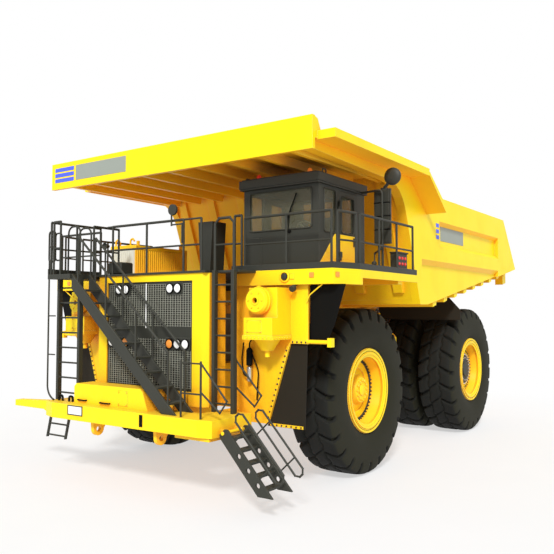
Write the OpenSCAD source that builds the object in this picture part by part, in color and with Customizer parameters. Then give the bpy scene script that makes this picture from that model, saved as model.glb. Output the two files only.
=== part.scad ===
// Rear-dump mining truck, electric drive class, with a full-width canopy body.
// Millimetres. +Z up, front of the truck towards -Y, left side of the truck towards +X.
// The origin is on the ground, in the middle of the overall length and width.

/* [Overall] */
// Length from bumper face to body tail
overall_length = 12830; // [12600:10:13200]
// Width over the decks and the canopy's wings
overall_width = 7400; // [7350:10:7500]
// Front axle to bumper face
front_overhang = 3840; // [3800:10:3900]
// Front axle to rear axle
wheelbase = 5890; // [5850:10:6000]
// Height of the walking decks
deck_height = 3860; // [3840:10:3920]
// Height of the canopy's underside over the decks
canopy_clear = 2120; // [2080:10:2240]

/* [Wheels] */
// Tyre diameter out to the lug tips
tyre_d = 3200; // [3150:10:3240]
// Tyre section width
tyre_w = 950; // [900:10:970]
// Height of a tread lug
lug_h = 80; // [60:5:100]
// Number of lugs round each shoulder
lug_count = 24; // [18:1:28]
// Outer diameter of the rim flange
rim_d = 1650; // [1600:10:1680]
// Distance between the front tyres' centre planes
front_track = 4990; // [4960:10:5060]
// Distance between the centres of the two dual pairs
rear_track = 3890; // [3880:10:3960]
// Distance between the two tyres of a dual pair
dual_spacing = 1100; // [1060:10:1120]
// Distance between the two steering axes
kingpin_track = 2900; // [2880:10:2920]

/* [Frame] */
// Width of one frame rail
rail_w = 350; // [320:10:360]
// Gap between the frame rails
rail_gap = 900; // [880:10:920]
// Underside of the frame rails
rail_z = 1450; // [1440:10:1480]
// Height of the rails at the front
rail_h = 700; // [660:10:720]
// Top of the rails where the body rests
rest_z = 2750; // [2740:10:2780]

/* [Dump body] */
// Width over the body sides
body_w = 6500; // [6400:10:6560]
// Thickness of a body side
side_t = 200; // [180:10:220]
// Depth of the pressed recesses in the body sides
recess_d = 110; // [60:10:120]
// Drop from the canopy's underside to the top of the body sides
rail_drop = 210; // [180:10:260]
// Rise of the floor for each metre of length
floor_rise = 170; // [160:5:175]
// Thickness of the floor plate
floor_t = 100; // [80:10:120]
// Number of cross bolsters under the floor
bolster_count = 9; // [7:1:10]
// Number of ribs under the canopy
canopy_ribs = 9; // [7:1:11]
// Height of the canopy's front lip
lip_h = 560; // [480:10:580]

/* [Cab] */
// Width of the cab
cab_w = 1650; // [1600:10:1680]
// Length of the cab
cab_l = 1680; // [1640:10:1720]
// Height of the cab without its roof
cab_h = 1540; // [1500:10:1560]
// Thickness of the cab walls
cab_wall = 70; // [60:5:80]
// Thickness of the window glass
glass_t = 14; // [10:1:20]
// Width of a cab door
door_w = 660; // [640:10:680]

/* [Access] */
// Height of the deck handrails
rail_height = 960; // [900:10:1000]
// Diameter of the handrail tube
tube_d = 48; // [42:1:50]
// Diameter of the posts
post_d = 42; // [36:1:44]
// Number of treads in the front stairway
stair_treads = 9; // [7:1:11]
// Spacing of the vertical ladders' rungs
rung_pitch = 290; // [270:5:320]

/* [Front] */
// Width of the grille opening
grille_w = 2200; // [2160:10:2240]
// Columns of openings in the grille
grille_cols = 22; // [16:1:24]
// Rows of openings in one half of the grille
grille_rows = 7; // [6:1:9]
// Width of the bumper beam
bumper_w = 4240; // [4200:10:4300]
// Height of the bumper beam
bumper_h = 280; // [260:10:300]
// Hole in the tow eyes
tow_eye_d = 100; // [80:5:110]

/* [Hidden] */
$fn = 48;
// Running clearance at pins and bores, measured on the radius
fit = 0.3;
// Overreach of a cutting solid
over = 1;

// Heights that follow the decks
canopy_height = deck_height + canopy_clear;
body_top = canopy_height - rail_drop;

// Stations along the truck
fa = front_overhang - overall_length / 2;
ra = fa + wheelbase;
tail_y = overall_length / 2;
bumper_y = -overall_length / 2;

// Wheels
tyre_r = tyre_d / 2;
rim_r = rim_d / 2;
bead_r = rim_r - 95;
bead_half = 340;
flange_t = 60;
lip_t = 90;
barrel_t = 60;
axle_z = tyre_r;
front_wheel_x = front_track / 2;
rear_wheel_x = rear_track / 2;
spindle_r = 180;
drum_r = 560;
motor_r = 440;
carcass_r = tyre_r - lug_h;
lug_w = 0.62 * 2 * PI * tyre_r / lug_count;
lug_slant = 100;
lug_in = 20;
lug_depth = 280;

// Steering
king_x = kingpin_track / 2;
piston_r = 200;
strut_r = 270;
strut_z = axle_z + 650;
strut_top_gap = 150;
piston_in = 350;
arm_z = 1130;
arm_t = 60;
arm_w = 190;
tie_arm = 750;
push_arm = 600;
tie_pin_r = 45;
tie_r = 60;
steer_barrel_r = 95;
steer_rod_r = 45;
steer_bracket_x = 330;
steer_eye_r = 80;
link_z = arm_z + arm_t + 70;

// Frame
rail_x0 = rail_gap / 2;
rail_x1 = rail_x0 + rail_w;
rail_top = rail_z + rail_h;
nose_z = 1150;
nose_top = 1500;
nose_y = bumper_y + 590;
shroud_y0 = fa - 3130;
shroud_y1 = fa - 2600;
kick_z = 2300;
pivot_y = ra + 1150;
frame_end = pivot_y + 260;
pivot_z = rest_z - 225;
pivot_r = 90;
nose_pivot_y = fa + 3550;
arch_t = 380;
arch_d = 600;
arch_top = deck_height - 260;
arch_beam = 300;
arch_foot_z = rail_z + 50;
strut_h = arch_top - strut_z - strut_top_gap;
engine_top = arch_top - arch_beam - 200;

// Decks
deck_t = 40;
fascia_h = 260;
fascia_z = deck_height - fascia_h;
deck_y0 = fa - 2450;
deck_y1 = fa + 600;
deck_x0 = grille_w / 2 + 320;
deck_x1 = overall_width / 2;
deck_cut_x = 150;
deck_cut_y = 650;
platform_x0 = -2100;
platform_y0 = fa - 3760;

// Radiator and grille
grille_z0 = 1745;
grille_z1 = deck_height - 170;
shroud_x = grille_w / 2 + 320;
shroud_top = deck_height - deck_t;
grille_t = 60;
grille_mid = grille_z0 + 0.491 * (grille_z1 - grille_z0);
grille_mid_h = 130;

// Cab
cab_x1 = deck_x1 - 720;
cab_x0 = cab_x1 - cab_w;
cab_y0 = fa - 1950;
cab_y1 = cab_y0 + cab_l;
cab_z0 = deck_height;
cab_z1 = cab_z0 + cab_h;
roof_t = 200;
roof_over = 40;
sill_z = cab_z0 + 760;
head_z = cab_z1 - 60;
door_z0 = cab_z0 + 90;
door_z1 = cab_z1 - 40;
door_y1 = cab_y1 - 330;
door_y0 = door_y1 - door_w;
door_gap = 6;
hinge_r = 24;
hinge_pin_r = 11;
hinge_h = 100;
hinge_x = 34;
hinge_y = door_y0 - 8;
hinge_z = [door_z0 + 180, door_z1 - 300];

// Dump body
body_x1 = body_w / 2;
body_x0 = body_x1 - side_t;
wall_foot_y = fa + 1780;
floor_kink_y = fa + 2450;
floor_z = 3300;
wall_head_y = fa + 800;
wall_t = 120;
wall_lean = atan((wall_foot_y - wall_head_y) / (canopy_height - floor_z));
gusset_r = 880;
wall_rib = 70;
tail_top_y = tail_y - 1130;
canopy_y0 = fa - 2720;
canopy_t = 80;
canopy_x = overall_width / 2;
lip_t_canopy = 80;
lip_x = canopy_x - 340;
lip_drop = 190;
wing_y0 = fa - 2620;
right_wing_y0 = fa - 1600;
edge_t = 60;
edge_low = 20;
edge_h = 150;
rib_h = 160;
side_beam_h = 200;
rib_w = 170;
eave_y = fa + 1270;
eave_end_y = fa + 2180;
eave_drop = 680;
beam_x0 = 300;
beam_x1 = 750;
pad_t = 50;
beam_z = rest_z + pad_t;
ear_x0 = 260;
ear_x1 = 430;
ear_r = 200;
bolster_l = 250;
bolster_h = 110;

// Hoist cylinders, which run between a frame pin and a body pin
hoist_x = 1100;
hoist_w = 200;
hoist_foot = [fa + 3900, 1550];
hoist_head = [fa + 3800, 3050];
hoist_len = norm(hoist_head - hoist_foot);
hoist_lean = atan2(hoist_foot[0] - hoist_head[0], hoist_head[1] - hoist_foot[1]);
hoist_pin_r = 70;
hoist_head_pin_r = 58;
hoist_eye_slack = 60;
hoist_step = 30;
barrel_r = 165;

// Bumper and front access
bumper_z1 = nose_z + bumper_h;
bumper_y1 = nose_y;
bumper_deck_y = fa - 2750;
stair_y0 = fa - 3720;
stair_y1 = fa - 3270;
stair_foot_x = 1280;
stair_head_x = -1430;
stringer_t = 40;
stringer_w = 210;
ladder_w = 480;
right_ladder_x = -2110;
platform_t = 90;
boarding_y0 = fa - 3640;
boarding_y1 = fa - 3080;
boarding_lean = 47;
boarding_len = 1295;
boarding_w = 200;
boarding_pivot = [bumper_w / 2 + 110, 1230];
boarding_pin_r = 30;

paint = "gold";
dark = "dimgray";

// Shared shapes

// A box between two corners
module block(a, b) {
    translate(a) cube(b - a);
}

// A piece and its mirror image on the other side of the truck
module both() {
    children();
    mirror([1, 0, 0]) children();
}

// A round bar between two points
module bar(p, q, d) {
    v = q - p;
    translate(p)
        rotate([0, acos(v[2] / norm(v)), atan2(v[1], v[0])])
            cylinder(h = norm(v), d = d);
}

// An outline in Y and Z, carried across the truck from x0 to x1
module across(x0, x1, outline) {
    translate([x0, 0, 0]) rotate([90, 0, 90]) linear_extrude(x1 - x0) polygon(outline);
}

// An outline in X and Z, carried along the truck from y0 to y1
module along(y0, y1, outline) {
    translate([0, y1, 0]) rotate([90, 0, 0]) linear_extrude(y1 - y0) polygon(outline);
}

// A revolved outline of radius and offset, about an axis across the truck
module wheel_turned(x, y, outline) {
    translate([x, y, axle_z]) rotate([0, 90, 0]) rotate_extrude() polygon(outline);
}

// A straight run of handrail on posts, with a middle rail
module rail_run(p, q, posts, h) {
    for (i = [0:posts - 1]) {
        foot = p + (q - p) * i / (posts - 1);
        bar(foot, foot + [0, 0, h], post_d);
    }
    bar(p + [0, 0, h], q + [0, 0, h], tube_d);
    bar(p + [0, 0, h / 2], q + [0, 0, h / 2], post_d - 8);
}

// A vertical ladder of two stiles and round rungs, facing along Y
module upright_ladder(x0, x1, y, z0, z1) {
    stile_w = 60;
    stile_d = 90;
    rungs = floor((z1 - z0) / rung_pitch);
    for (x = [x0, x1 - stile_w]) block([x, y - stile_d / 2, z0], [x + stile_w, y + stile_d / 2, z1]);
    for (i = [1:rungs]) {
        z = z0 + rung_pitch * (i - 0.5);
        bar([x0 + stile_w / 2, y, z], [x1 - stile_w / 2, y, z], post_d - 8);
    }
}

// Wheels and tyres

// Tyre section: bead, sidewall, shoulder and tread, as radius and offset from the centre plane
function tyre_outline(r) = let (half = tyre_w / 2) [
    [bead_r, -bead_half], [rim_r + 10, -bead_half], [rim_r + 75, -half + 45], [r * 0.72, -half],
    [r - 250, -half + 6], [r - 70, -half + 36], [r, -half + 105],
    [r, half - 105], [r - 70, half - 36], [r - 250, half - 6], [r * 0.72, half],
    [rim_r + 75, half - 45], [rim_r + 10, bead_half], [bead_r, bead_half]
];

// Carcass with a row of slanted lugs over each shoulder, the rows half a pitch apart
module tyre(x, y) {
    color("#26241f") {
        wheel_turned(x, y, tyre_outline(carcass_r));
        translate([x, y, axle_z]) rotate([0, 90, 0]) for (row = [0, 1]) rotate([180 * row, 0, 0])
            for (i = [0:lug_count - 1]) rotate([0, 0, 360 * (i + row / 2) / lug_count]) lug();
    }
}

// One lug, from near the middle of the tread out over the shoulder
module lug() {
    out = tyre_w / 2 - 15;
    translate([tyre_r - lug_depth, 0, 0]) rotate([90, 0, 90]) linear_extrude(lug_depth) polygon([
        [lug_slant - lug_w / 2, lug_in], [lug_slant + lug_w / 2, lug_in], [lug_w / 2, out], [-lug_w / 2, out]
    ]);
}

// Rim barrel with an outer and an inner flange, and a disc down to the hub. out is 1 where the outside
// of the truck is towards +X and -1 where it is towards -X.
function rim_outline(hub_r, disc, out) = let (r = bead_r - fit, s = out, half = bead_half, f = flange_t) [
    [r, -half * s], [rim_r, -(half + fit) * s], [rim_r, -(half + f) * s], [r - barrel_t, -(half + f) * s],
    [r - barrel_t, (disc - 60) * s], [hub_r - over, (disc - 60) * s], [hub_r - over, (disc + 60) * s],
    [r - barrel_t - 60, (disc + 60) * s], [r - barrel_t, half * s], [r - barrel_t - 20, (half + f) * s],
    [rim_r - 40, (half + lip_t) * s], [rim_r, (half + f) * s], [rim_r, (half + fit) * s], [r, half * s]
];

// Front wheel: rim, dished disc and closed hub, bored for the spindle
module front_wheel(side) {
    bore = spindle_r + fit;
    cap = 260;
    hub = [
        [bore, -300 * side], [330, -300 * side], [370, -40 * side], [430, 40 * side], [430, 110 * side],
        [300, 170 * side], [240, cap * side], [0, cap * side], [0, (cap - 60) * side], [bore, (cap - 60) * side]
    ];
    color(paint) {
        wheel_turned(side * front_wheel_x, fa, rim_outline(430, 70, side));
        wheel_turned(side * front_wheel_x, fa, hub);
    }
}

// Rear wheels: two rims on one hub drum that turns about the wheel motor's frame
module rear_wheels(side) {
    half = dual_spacing / 2;
    drum = [
        [motor_r + fit, -(half + 330) * side], [drum_r, -(half + 330) * side],
        [drum_r, (half + 200) * side], [motor_r + fit, (half + 200) * side]
    ];
    color(paint) {
        for (s = [-1, 1]) wheel_turned(side * rear_wheel_x + s * half, ra, rim_outline(drum_r, 40, s));
        wheel_turned(side * rear_wheel_x, ra, drum);
    }
}

module rear_tyres(side) {
    for (s = [-1, 1]) tyre(side * rear_wheel_x + s * dual_spacing / 2, ra);
}

// Frame

module frame() {
    rail = [
        [nose_y, nose_z], [fa - 2300, nose_z], [fa - 2000, rail_z], [fa + 4100, rail_z], [fa + 4800, kick_z],
        [frame_end, kick_z], [frame_end, pivot_z + 100], [pivot_y + 110, rest_z], [fa + 3600, rest_z],
        [fa + 2600, rail_top],
        [shroud_y1, rail_top], [shroud_y1, nose_top], [nose_y, nose_top]
    ];
    color(paint) {
        both() {
            across(rail_x0, rail_x1, rail);
            translate([rail_x1 - over, hoist_foot[0], hoist_foot[1]])
                rotate([0, 90, 0]) cylinder(h = hoist_x + hoist_w / 2 + 60 - rail_x1 + over, r = hoist_pin_r);
            block([rail_x1 - over, tank_y0 + 90, rail_z + 110], [tank_x0, tank_y0 + 230, rail_z + 310]);
            block([rail_x1 - over, tank_y0 + tank_l - 240, rail_z + 110], [tank_x0, tank_y0 + tank_l - 100, rail_z + 310]);
        }
        // Engine bed, steering bracket and cross members between the rails
        for (y = [fa - 1900, fa - 500]) block([-rail_x0 - over, y, rail_z], [rail_x0 + over, y + 320, rail_z + 150]);
        block([-steer_bracket_x, fa - push_arm - 130, link_z - 130],
              [steer_bracket_x, fa - push_arm + 130, rail_z + over]);
        block([-rail_x0 - over, fa - 500 - 230, rail_z], [rail_x0 + over, fa - 500 + over, rail_z + 60]);
        block([-rail_x0 - over, fa + 1200, rail_z], [rail_x0 + over, fa + 1500, rail_top]);
        block([-rail_x0 - over, nose_pivot_y - 300, 1750], [rail_x0 + over, nose_pivot_y, 2250]);
        translate([-rail_x0 - over, pivot_y, pivot_z]) rotate([0, 90, 0]) cylinder(h = rail_gap + 2 * over, r = pivot_r);
    }
}

// Legs of the arch over the engine, which carry the front suspension struts
module front_arch() {
    x1 = rail_x1 + arch_t;
    color(paint) both() difference() {
        union() {
            block([rail_x1, fa - arch_d / 2, arch_foot_z], [x1, fa + arch_d / 2, arch_top]);
            for (z = [strut_z + 100, strut_z + strut_h - 350])
                block([x1 - over, fa - 260, z], [king_x - 60, fa + 260, z + 250]);
        }
        translate([king_x, fa, strut_z - over]) cylinder(h = strut_h + 2 * over, r = strut_r + fit);
    }
}

// Beam between the arch's legs
module arch_beam() {
    color(paint) block([-rail_x1, fa - arch_d / 2, arch_top - arch_beam], [rail_x1, fa + arch_d / 2, arch_top]);
}

module suspension_struts() {
    front_struts();
    rear_struts();
}

module front_struts() {
    color(paint) both() translate([king_x, fa, strut_z]) difference() {
        union() {
            cylinder(h = strut_h, r = strut_r);
            translate([0, 0, strut_h]) cylinder(h = 60, r = strut_r - 70);
        }
        translate([0, 0, -over]) cylinder(h = piston_in + 20 + over, r = piston_r + fit);
    }
}

// Engine block with its alternator behind it
engine_x = 430;
engine_y0 = fa - 2350;
engine_y1 = fa - 150;

module power_unit() {
    color("darkslategray") difference() {
        union() {
            block([-engine_x, engine_y0, rail_z + 150], [engine_x, engine_y1, engine_top]);
            translate([0, engine_y1 - over, rail_top + 100]) rotate([-90, 0, 0]) cylinder(h = 1100, r = engine_x - 10);
        }
        // Shoulders of the vee
        for (x = [-engine_x - over, engine_x - 100])
            block([x, engine_y0 - over, engine_top - 400], [x + 100 + over, engine_y1 + over, engine_top + over]);
    }
}

module rear_axle() {
    hub_end = rear_wheel_x + dual_spacing / 2 + 190;
    color(paint) {
        translate([0, ra, axle_z]) rotate([0, 90, 0]) {
            translate([0, 0, -760]) cylinder(h = 1520, r = 600);
            both_ends() translate([0, 0, 759]) cylinder(h = hub_end - 759, r = motor_r);
        }
        // Nose that reaches forward to the frame's cross tube, and the strut brackets
        across(-160, 160, [[ra - 300, axle_z - 120], [nose_pivot_y, 1850], [nose_pivot_y, 2150], [ra - 300, axle_z + 320]]);
        both() block([500, ra + 380, axle_z - 120], [740, ra + 900, axle_z + 100]);
    }
}

// A piece and its copy turned to the other end of the axle
module both_ends() {
    children();
    rotate([180, 0, 0]) children();
}

module rear_struts() {
    color("silver") both() translate([620, ra + 760, axle_z + 100]) {
        cylinder(h = 350, r = 80);
        translate([0, 0, 350]) cylinder(h = kick_z - axle_z - 450, r = 115);
    }
}

// Steering

module knuckle(side) {
    color(paint) mirror([side < 0 ? 1 : 0, 0, 0]) {
        translate([king_x, fa, arm_z]) cylinder(h = strut_z + piston_in - arm_z, r = piston_r);
        translate([king_x, fa, axle_z]) rotate([0, 90, 0]) {
            cylinder(h = front_wheel_x - king_x - 310, r = 260);
            cylinder(h = front_wheel_x - king_x + 190, r = spindle_r);
        }
        block([king_x - arm_w / 2, fa - push_arm, arm_z], [king_x + arm_w / 2, fa + tie_arm, arm_z + arm_t]);
        translate([king_x, fa - push_arm, arm_z]) cylinder(h = arm_t, r = arm_w / 2);
        translate([king_x, fa + tie_arm, arm_z]) cylinder(h = arm_t, r = arm_w / 2);
        translate([king_x, fa + tie_arm, arm_z]) cylinder(h = arm_t + 120, r = tie_pin_r);
    }
}

module tie_rod() {
    color("dimgray") difference() {
        union() {
            bar([-king_x, fa + tie_arm, link_z], [king_x, fa + tie_arm, link_z], 2 * tie_r);
            both() translate([king_x, fa + tie_arm, link_z - 50]) cylinder(h = 100, r = 100);
        }
        both() translate([king_x, fa + tie_arm, link_z - 100]) cylinder(h = 200, r = tie_pin_r + fit);
    }
}

module steering_cylinders() {
    end_x = king_x - 430;
    color(paint) both() difference() {
        bar([steer_bracket_x, fa - push_arm, link_z], [end_x, fa - push_arm, link_z], 2 * steer_barrel_r);
        bar([steer_bracket_x + 60, fa - push_arm, link_z], [end_x + over, fa - push_arm, link_z],
            2 * (steer_rod_r + fit));
    }
}

module steering_rods() {
    color("silver") both() {
        bar([king_x - 730, fa - push_arm, link_z], [king_x, fa - push_arm, link_z], 2 * steer_rod_r);
        translate([king_x, fa - push_arm, link_z - 50]) cylinder(h = 100, r = steer_eye_r);
    }
}

// Radiator and front end

module radiator_shroud() {
    bevel = 90;
    color(paint) difference() {
        translate([0, 0, nose_top]) linear_extrude(shroud_top - nose_top) polygon([
            [-shroud_x, shroud_y1], [-shroud_x, shroud_y0 + bevel], [-shroud_x + bevel, shroud_y0],
            [shroud_x - bevel, shroud_y0], [shroud_x, shroud_y0 + bevel], [shroud_x, shroud_y1]
        ]);
        block([-grille_w / 2, shroud_y0 - over, grille_z0], [grille_w / 2, shroud_y1 + over, grille_z1]);
    }
}

module radiator_core() {
    color("black") block([-grille_w / 2, shroud_y0 + 160, grille_z0], [grille_w / 2, shroud_y1, grille_z1]);
}

// Grille of two screens, above and below a middle bar
module grille() {
    frame_w = 45;
    web = 26;
    pitch_x = (grille_w - 2 * frame_w) / grille_cols;
    color(dark) headlamp_plates();
    color(dark) translate([0, shroud_y0 + 30 + grille_t, 0]) rotate([90, 0, 0]) linear_extrude(grille_t) difference() {
        translate([-grille_w / 2, grille_z0]) square([grille_w, grille_z1 - grille_z0]);
        for (screen = [[grille_z0, grille_mid], [grille_mid + grille_mid_h, grille_z1]]) {
            pitch_z = (screen[1] - screen[0] - 2 * frame_w) / grille_rows;
            for (i = [0:grille_cols - 1]) for (j = [0:grille_rows - 1])
                translate([-grille_w / 2 + frame_w + pitch_x * i + web / 2, screen[0] + frame_w + pitch_z * j + web / 2])
                    square([pitch_x - web, pitch_z - web]);
        }
    }
}

// Centres of the lamps in the two upper pairs and the two lower triples
lamp_r = 82;
lamp_pitch = 190;
lamp_x = 570;
lamp_drop = 130;
upper_lamps = [for (s = [-1, 1]) for (i = [0, 1]) [s * (lamp_x + lamp_pitch * i), grille_z1 - lamp_drop]];
lower_lamps = [for (s = [-1, 1]) for (i = [0:2]) [s * (lamp_x + lamp_pitch * i), grille_mid - lamp_drop]];
plate_t = 30;

// Lamp plates in front of the screens
module headlamp_plates() {
    difference() {
        for (s = [-1, 1]) lamp_plate(s * (lamp_x + lamp_pitch / 2), lamp_pitch + 10, grille_z1 - lamp_drop);
        lamp_seats(upper_lamps);
    }
    difference() {
        for (s = [-1, 1]) lamp_plate(s * (lamp_x + lamp_pitch), 1.5 * lamp_pitch + 15, grille_mid - lamp_drop);
        lamp_seats(lower_lamps);
    }
}

// One plate of a given half width, centred on its lamps
module lamp_plate(x, half, z) {
    y = shroud_y0 + 30;
    block([x - half, y - plate_t, z - 110], [x + half, y + over, z + 110]);
}

module lamp_seats(lamps) {
    for (p = lamps) translate([p[0], shroud_y0 + 30, p[1]]) rotate([90, 0, 0])
        cylinder(h = plate_t + over, r = lamp_r + fit);
}

module headlamps() {
    color("white") for (p = concat(upper_lamps, lower_lamps))
        translate([p[0], shroud_y0 + 30, p[1]]) rotate([90, 0, 0]) {
            cylinder(h = plate_t + 14, r = lamp_r);
            translate([0, 0, plate_t + 14]) cylinder(h = 12, r1 = lamp_r, r2 = lamp_r - 24);
        }
}

module bumper() {
    half = bumper_w / 2;
    sweep = 110;
    tip_x = overall_width / 2 - 210;
    color(paint) {
        translate([0, 0, nose_z]) linear_extrude(bumper_h) polygon([
            [-half, bumper_y + sweep], [-half + 320, bumper_y], [half - 260, bumper_y], [half, bumper_y + 60],
            [half, bumper_deck_y], [shroud_x + 30, bumper_deck_y], [shroud_x + 30, bumper_y1],
            [-shroud_x - 30, bumper_y1], [-shroud_x - 30, bumper_deck_y], [-half, bumper_deck_y]
        ]);
        // Lugs and pin that carry the boarding ladder
        for (y = [boarding_y0 + 80, boarding_y1 - 120])
            block([half - over, y, boarding_pivot[1] - 38], [boarding_pivot[0] + 38, y + 40, boarding_pivot[1] + 38]);
        bar([boarding_pivot[0], boarding_y0 - 15, boarding_pivot[1]], [boarding_pivot[0], boarding_y1 + 15, boarding_pivot[1]],
            2 * boarding_pin_r);
        tow_eyes();
        // Deeper left end that carries the boarding ladder
        block([half - 800, bumper_y + 70, nose_z - 60], [half - 60, bumper_deck_y - 60, nose_z + over]);
        // Tapered marker bar that reaches out on the right
        along(bumper_y1 - 230, bumper_y1 - 60, [
            [-half + over, bumper_z1 - 40], [-tip_x, bumper_z1 - 110], [-tip_x, bumper_z1 - 230],
            [-half - 420, bumper_z1 - 230], [-half - 300, nose_z], [-half + over, nose_z]
        ]);
    }
}

module bumper_box() {
    x0 = -1400;
    x1 = 430;
    top = 370;
    color(paint) along(bumper_y + 200, bumper_y1, [
        [x0, bumper_z1], [x1 + 120, bumper_z1], [x1, bumper_z1 + top - 60], [x1 - 60, bumper_z1 + top],
        [x0 + 60, bumper_z1 + top], [x0, bumper_z1 + top - 60]
    ]);
}

// Two lugs under the bumper with a drilled eye each
tow_x = 800;
tow_y = bumper_y + 260;
tow_z = nose_z - 150;
tow_t = 70;

module tow_eyes() {
    both() difference() {
        union() {
            across(tow_x - tow_t / 2, tow_x + tow_t / 2, [
                [tow_y - 130, nose_z + over], [tow_y + 230, nose_z + over], [tow_y + 120, tow_z], [tow_y - 120, tow_z]
            ]);
            translate([tow_x - tow_t / 2, tow_y, tow_z]) rotate([0, 90, 0]) cylinder(h = tow_t, r = 120);
        }
        translate([tow_x - tow_t, tow_y, tow_z]) rotate([0, 90, 0]) cylinder(h = 2 * tow_t, d = tow_eye_d);
    }
}

// Stairway that climbs across the grille from the left of the bumper to the right platform
module front_stairway() {
    rise = deck_height - bumper_z1;
    run = stair_foot_x - stair_head_x;
    slope = rise / run;
    drop = stringer_w * norm([rise, run]) / run;
    hand = 850;
    outline = [
        [stair_foot_x, bumper_z1], [stair_head_x, deck_height], [stair_head_x, deck_height - drop],
        [stair_foot_x - drop / slope, bumper_z1]
    ];
    color(dark) {
        along(stair_y0, stair_y0 + stringer_t, outline);
        along(stair_y1 - stringer_t, stair_y1, outline);
        for (i = [1:stair_treads]) {
            t = i / (stair_treads + 1);
            block([stair_foot_x - run * t - 150, stair_y0 + stringer_t - over, bumper_z1 + rise * t - 90],
                  [stair_foot_x - run * t + 90, stair_y1 - stringer_t + over, bumper_z1 + rise * t - 55]);
        }
        for (y = [stair_y0 + stringer_t / 2, stair_y1 - stringer_t / 2]) {
            for (t = [0.07, 0.36, 0.65, 0.94]) {
                p = [stair_foot_x - run * t, y, bumper_z1 + rise * t - 40];
                bar(p, p + [0, 0, hand + 40], post_d - 6);
            }
            a = [stair_foot_x - run * 0.07, y, bumper_z1 + rise * 0.07 + hand];
            b = [stair_foot_x - run * 0.94, y, bumper_z1 + rise * 0.94 + hand];
            bar(a, b, tube_d - 6);
        }
    }
}

// Upright ladders from the bumper to the decks, and the short step that hangs under its right end
module ladders() {
    x0 = shroud_x + 50;
    color(dark) {
        upright_ladder(right_ladder_x, right_ladder_x + ladder_w + 200, fa - 3480, bumper_z1, deck_height - platform_t);
        upright_ladder(x0, x0 + ladder_w, fa - 2990, bumper_z1, deck_height);
        hand_hoop(x0, x0 + ladder_w, fa - 2990);
        step_ladder();
        guard_loop(bumper_y + 90);
        guard_loop(fa - 2850);
        guard_rail(bumper_y + 90);
    }
}

// Tube hoop that carries on upwards from a ladder's stiles
module hand_hoop(x0, x1, y) {
    z = deck_height - over;
    top = z + rail_height - 60;
    a = x0 + 30;
    b = x1 - 30;
    for (x = [a, b]) bar([x, y, z], [x, y, top - 80], tube_d);
    bar([a - 10, y, top - 100], [a + 100, y, top + 5], tube_d - 6);
    bar([a + 80, y, top], [b - 80, y, top], tube_d);
    bar([b - 100, y, top + 5], [b + 10, y, top - 100], tube_d - 6);
    bar([a, y, z + rail_height / 2 - 40], [b, y, z + rail_height / 2 - 40], post_d - 8);
}

// Post on the bumper with a loop of tube that slopes down beside the boarding ladder
guard_x = bumper_w / 2 - 260;
guard_h = 900;

module guard_loop(y) {
    z = bumper_z1;
    d = post_d - 6;
    bar([guard_x, y, z], [guard_x, y, z + guard_h + 20], d);
    bar([guard_x, y, z + guard_h - 10], [guard_x + 540, y, z + 320], d - 4);
    bar([guard_x + 549, y, z + 332], [guard_x + 391, y, z + 118], d - 9);
    bar([guard_x + 400, y, z + 130], [guard_x, y, z + 430], d - 4);
}

// Two rails from the front guard post towards the stairway
module guard_rail(y) {
    for (h = [guard_h - 20, guard_h / 2 - 60])
        bar([guard_x - 430, y, bumper_z1 + h], [guard_x, y, bumper_z1 + h], post_d - 14);
    bar([guard_x - 430, y, bumper_z1], [guard_x - 430, y, bumper_z1 + guard_h + 20], post_d - 6);
}

// Landing at the head of the stairway and the right ladder, with its guard rails
module right_platform() {
    z = deck_height;
    x1 = -shroud_x - 10;
    color(dark) {
        block([platform_x0, platform_y0, z - platform_t], [x1, deck_y0, z]);
        block([platform_x0, platform_y0, z - over], [platform_x0 + 20, deck_y0, z + 110]);
        translate([0, 0, -over]) {
            rail_run([platform_x0 + 50, platform_y0 + 40, z], [platform_x0 + 50, deck_y0 - 60, z], 3, rail_height + 60);
            rail_run([platform_x0 + 130, platform_y0 + 40, z], [platform_x0 + 330, platform_y0 + 40, z], 2, rail_height + 60);
            rail_run([x1 - 60, stair_y1 + 120, z], [x1 - 60, deck_y0 - 60, z], 2, rail_height);
        }
    }
}

module step_ladder() {
    x0 = right_ladder_x - 300;
    x1 = x0 + 560;
    y = bumper_y1 - 145;
    out = 130;
    drop = 500;
    t = 40;
    for (x = [x0, x1]) along(y - t / 2, y + t / 2, [
        [x, nose_z], [x + t, nose_z], [x + t - out, nose_z - drop], [x - out, nose_z - drop]
    ]);
    for (u = [0.45, 0.9]) {
        p = [x0 + t / 2 - out * u, y, nose_z - drop * u];
        bar(p, p + [x1 - x0, 0, 0], t - 6);
    }
}

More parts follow.
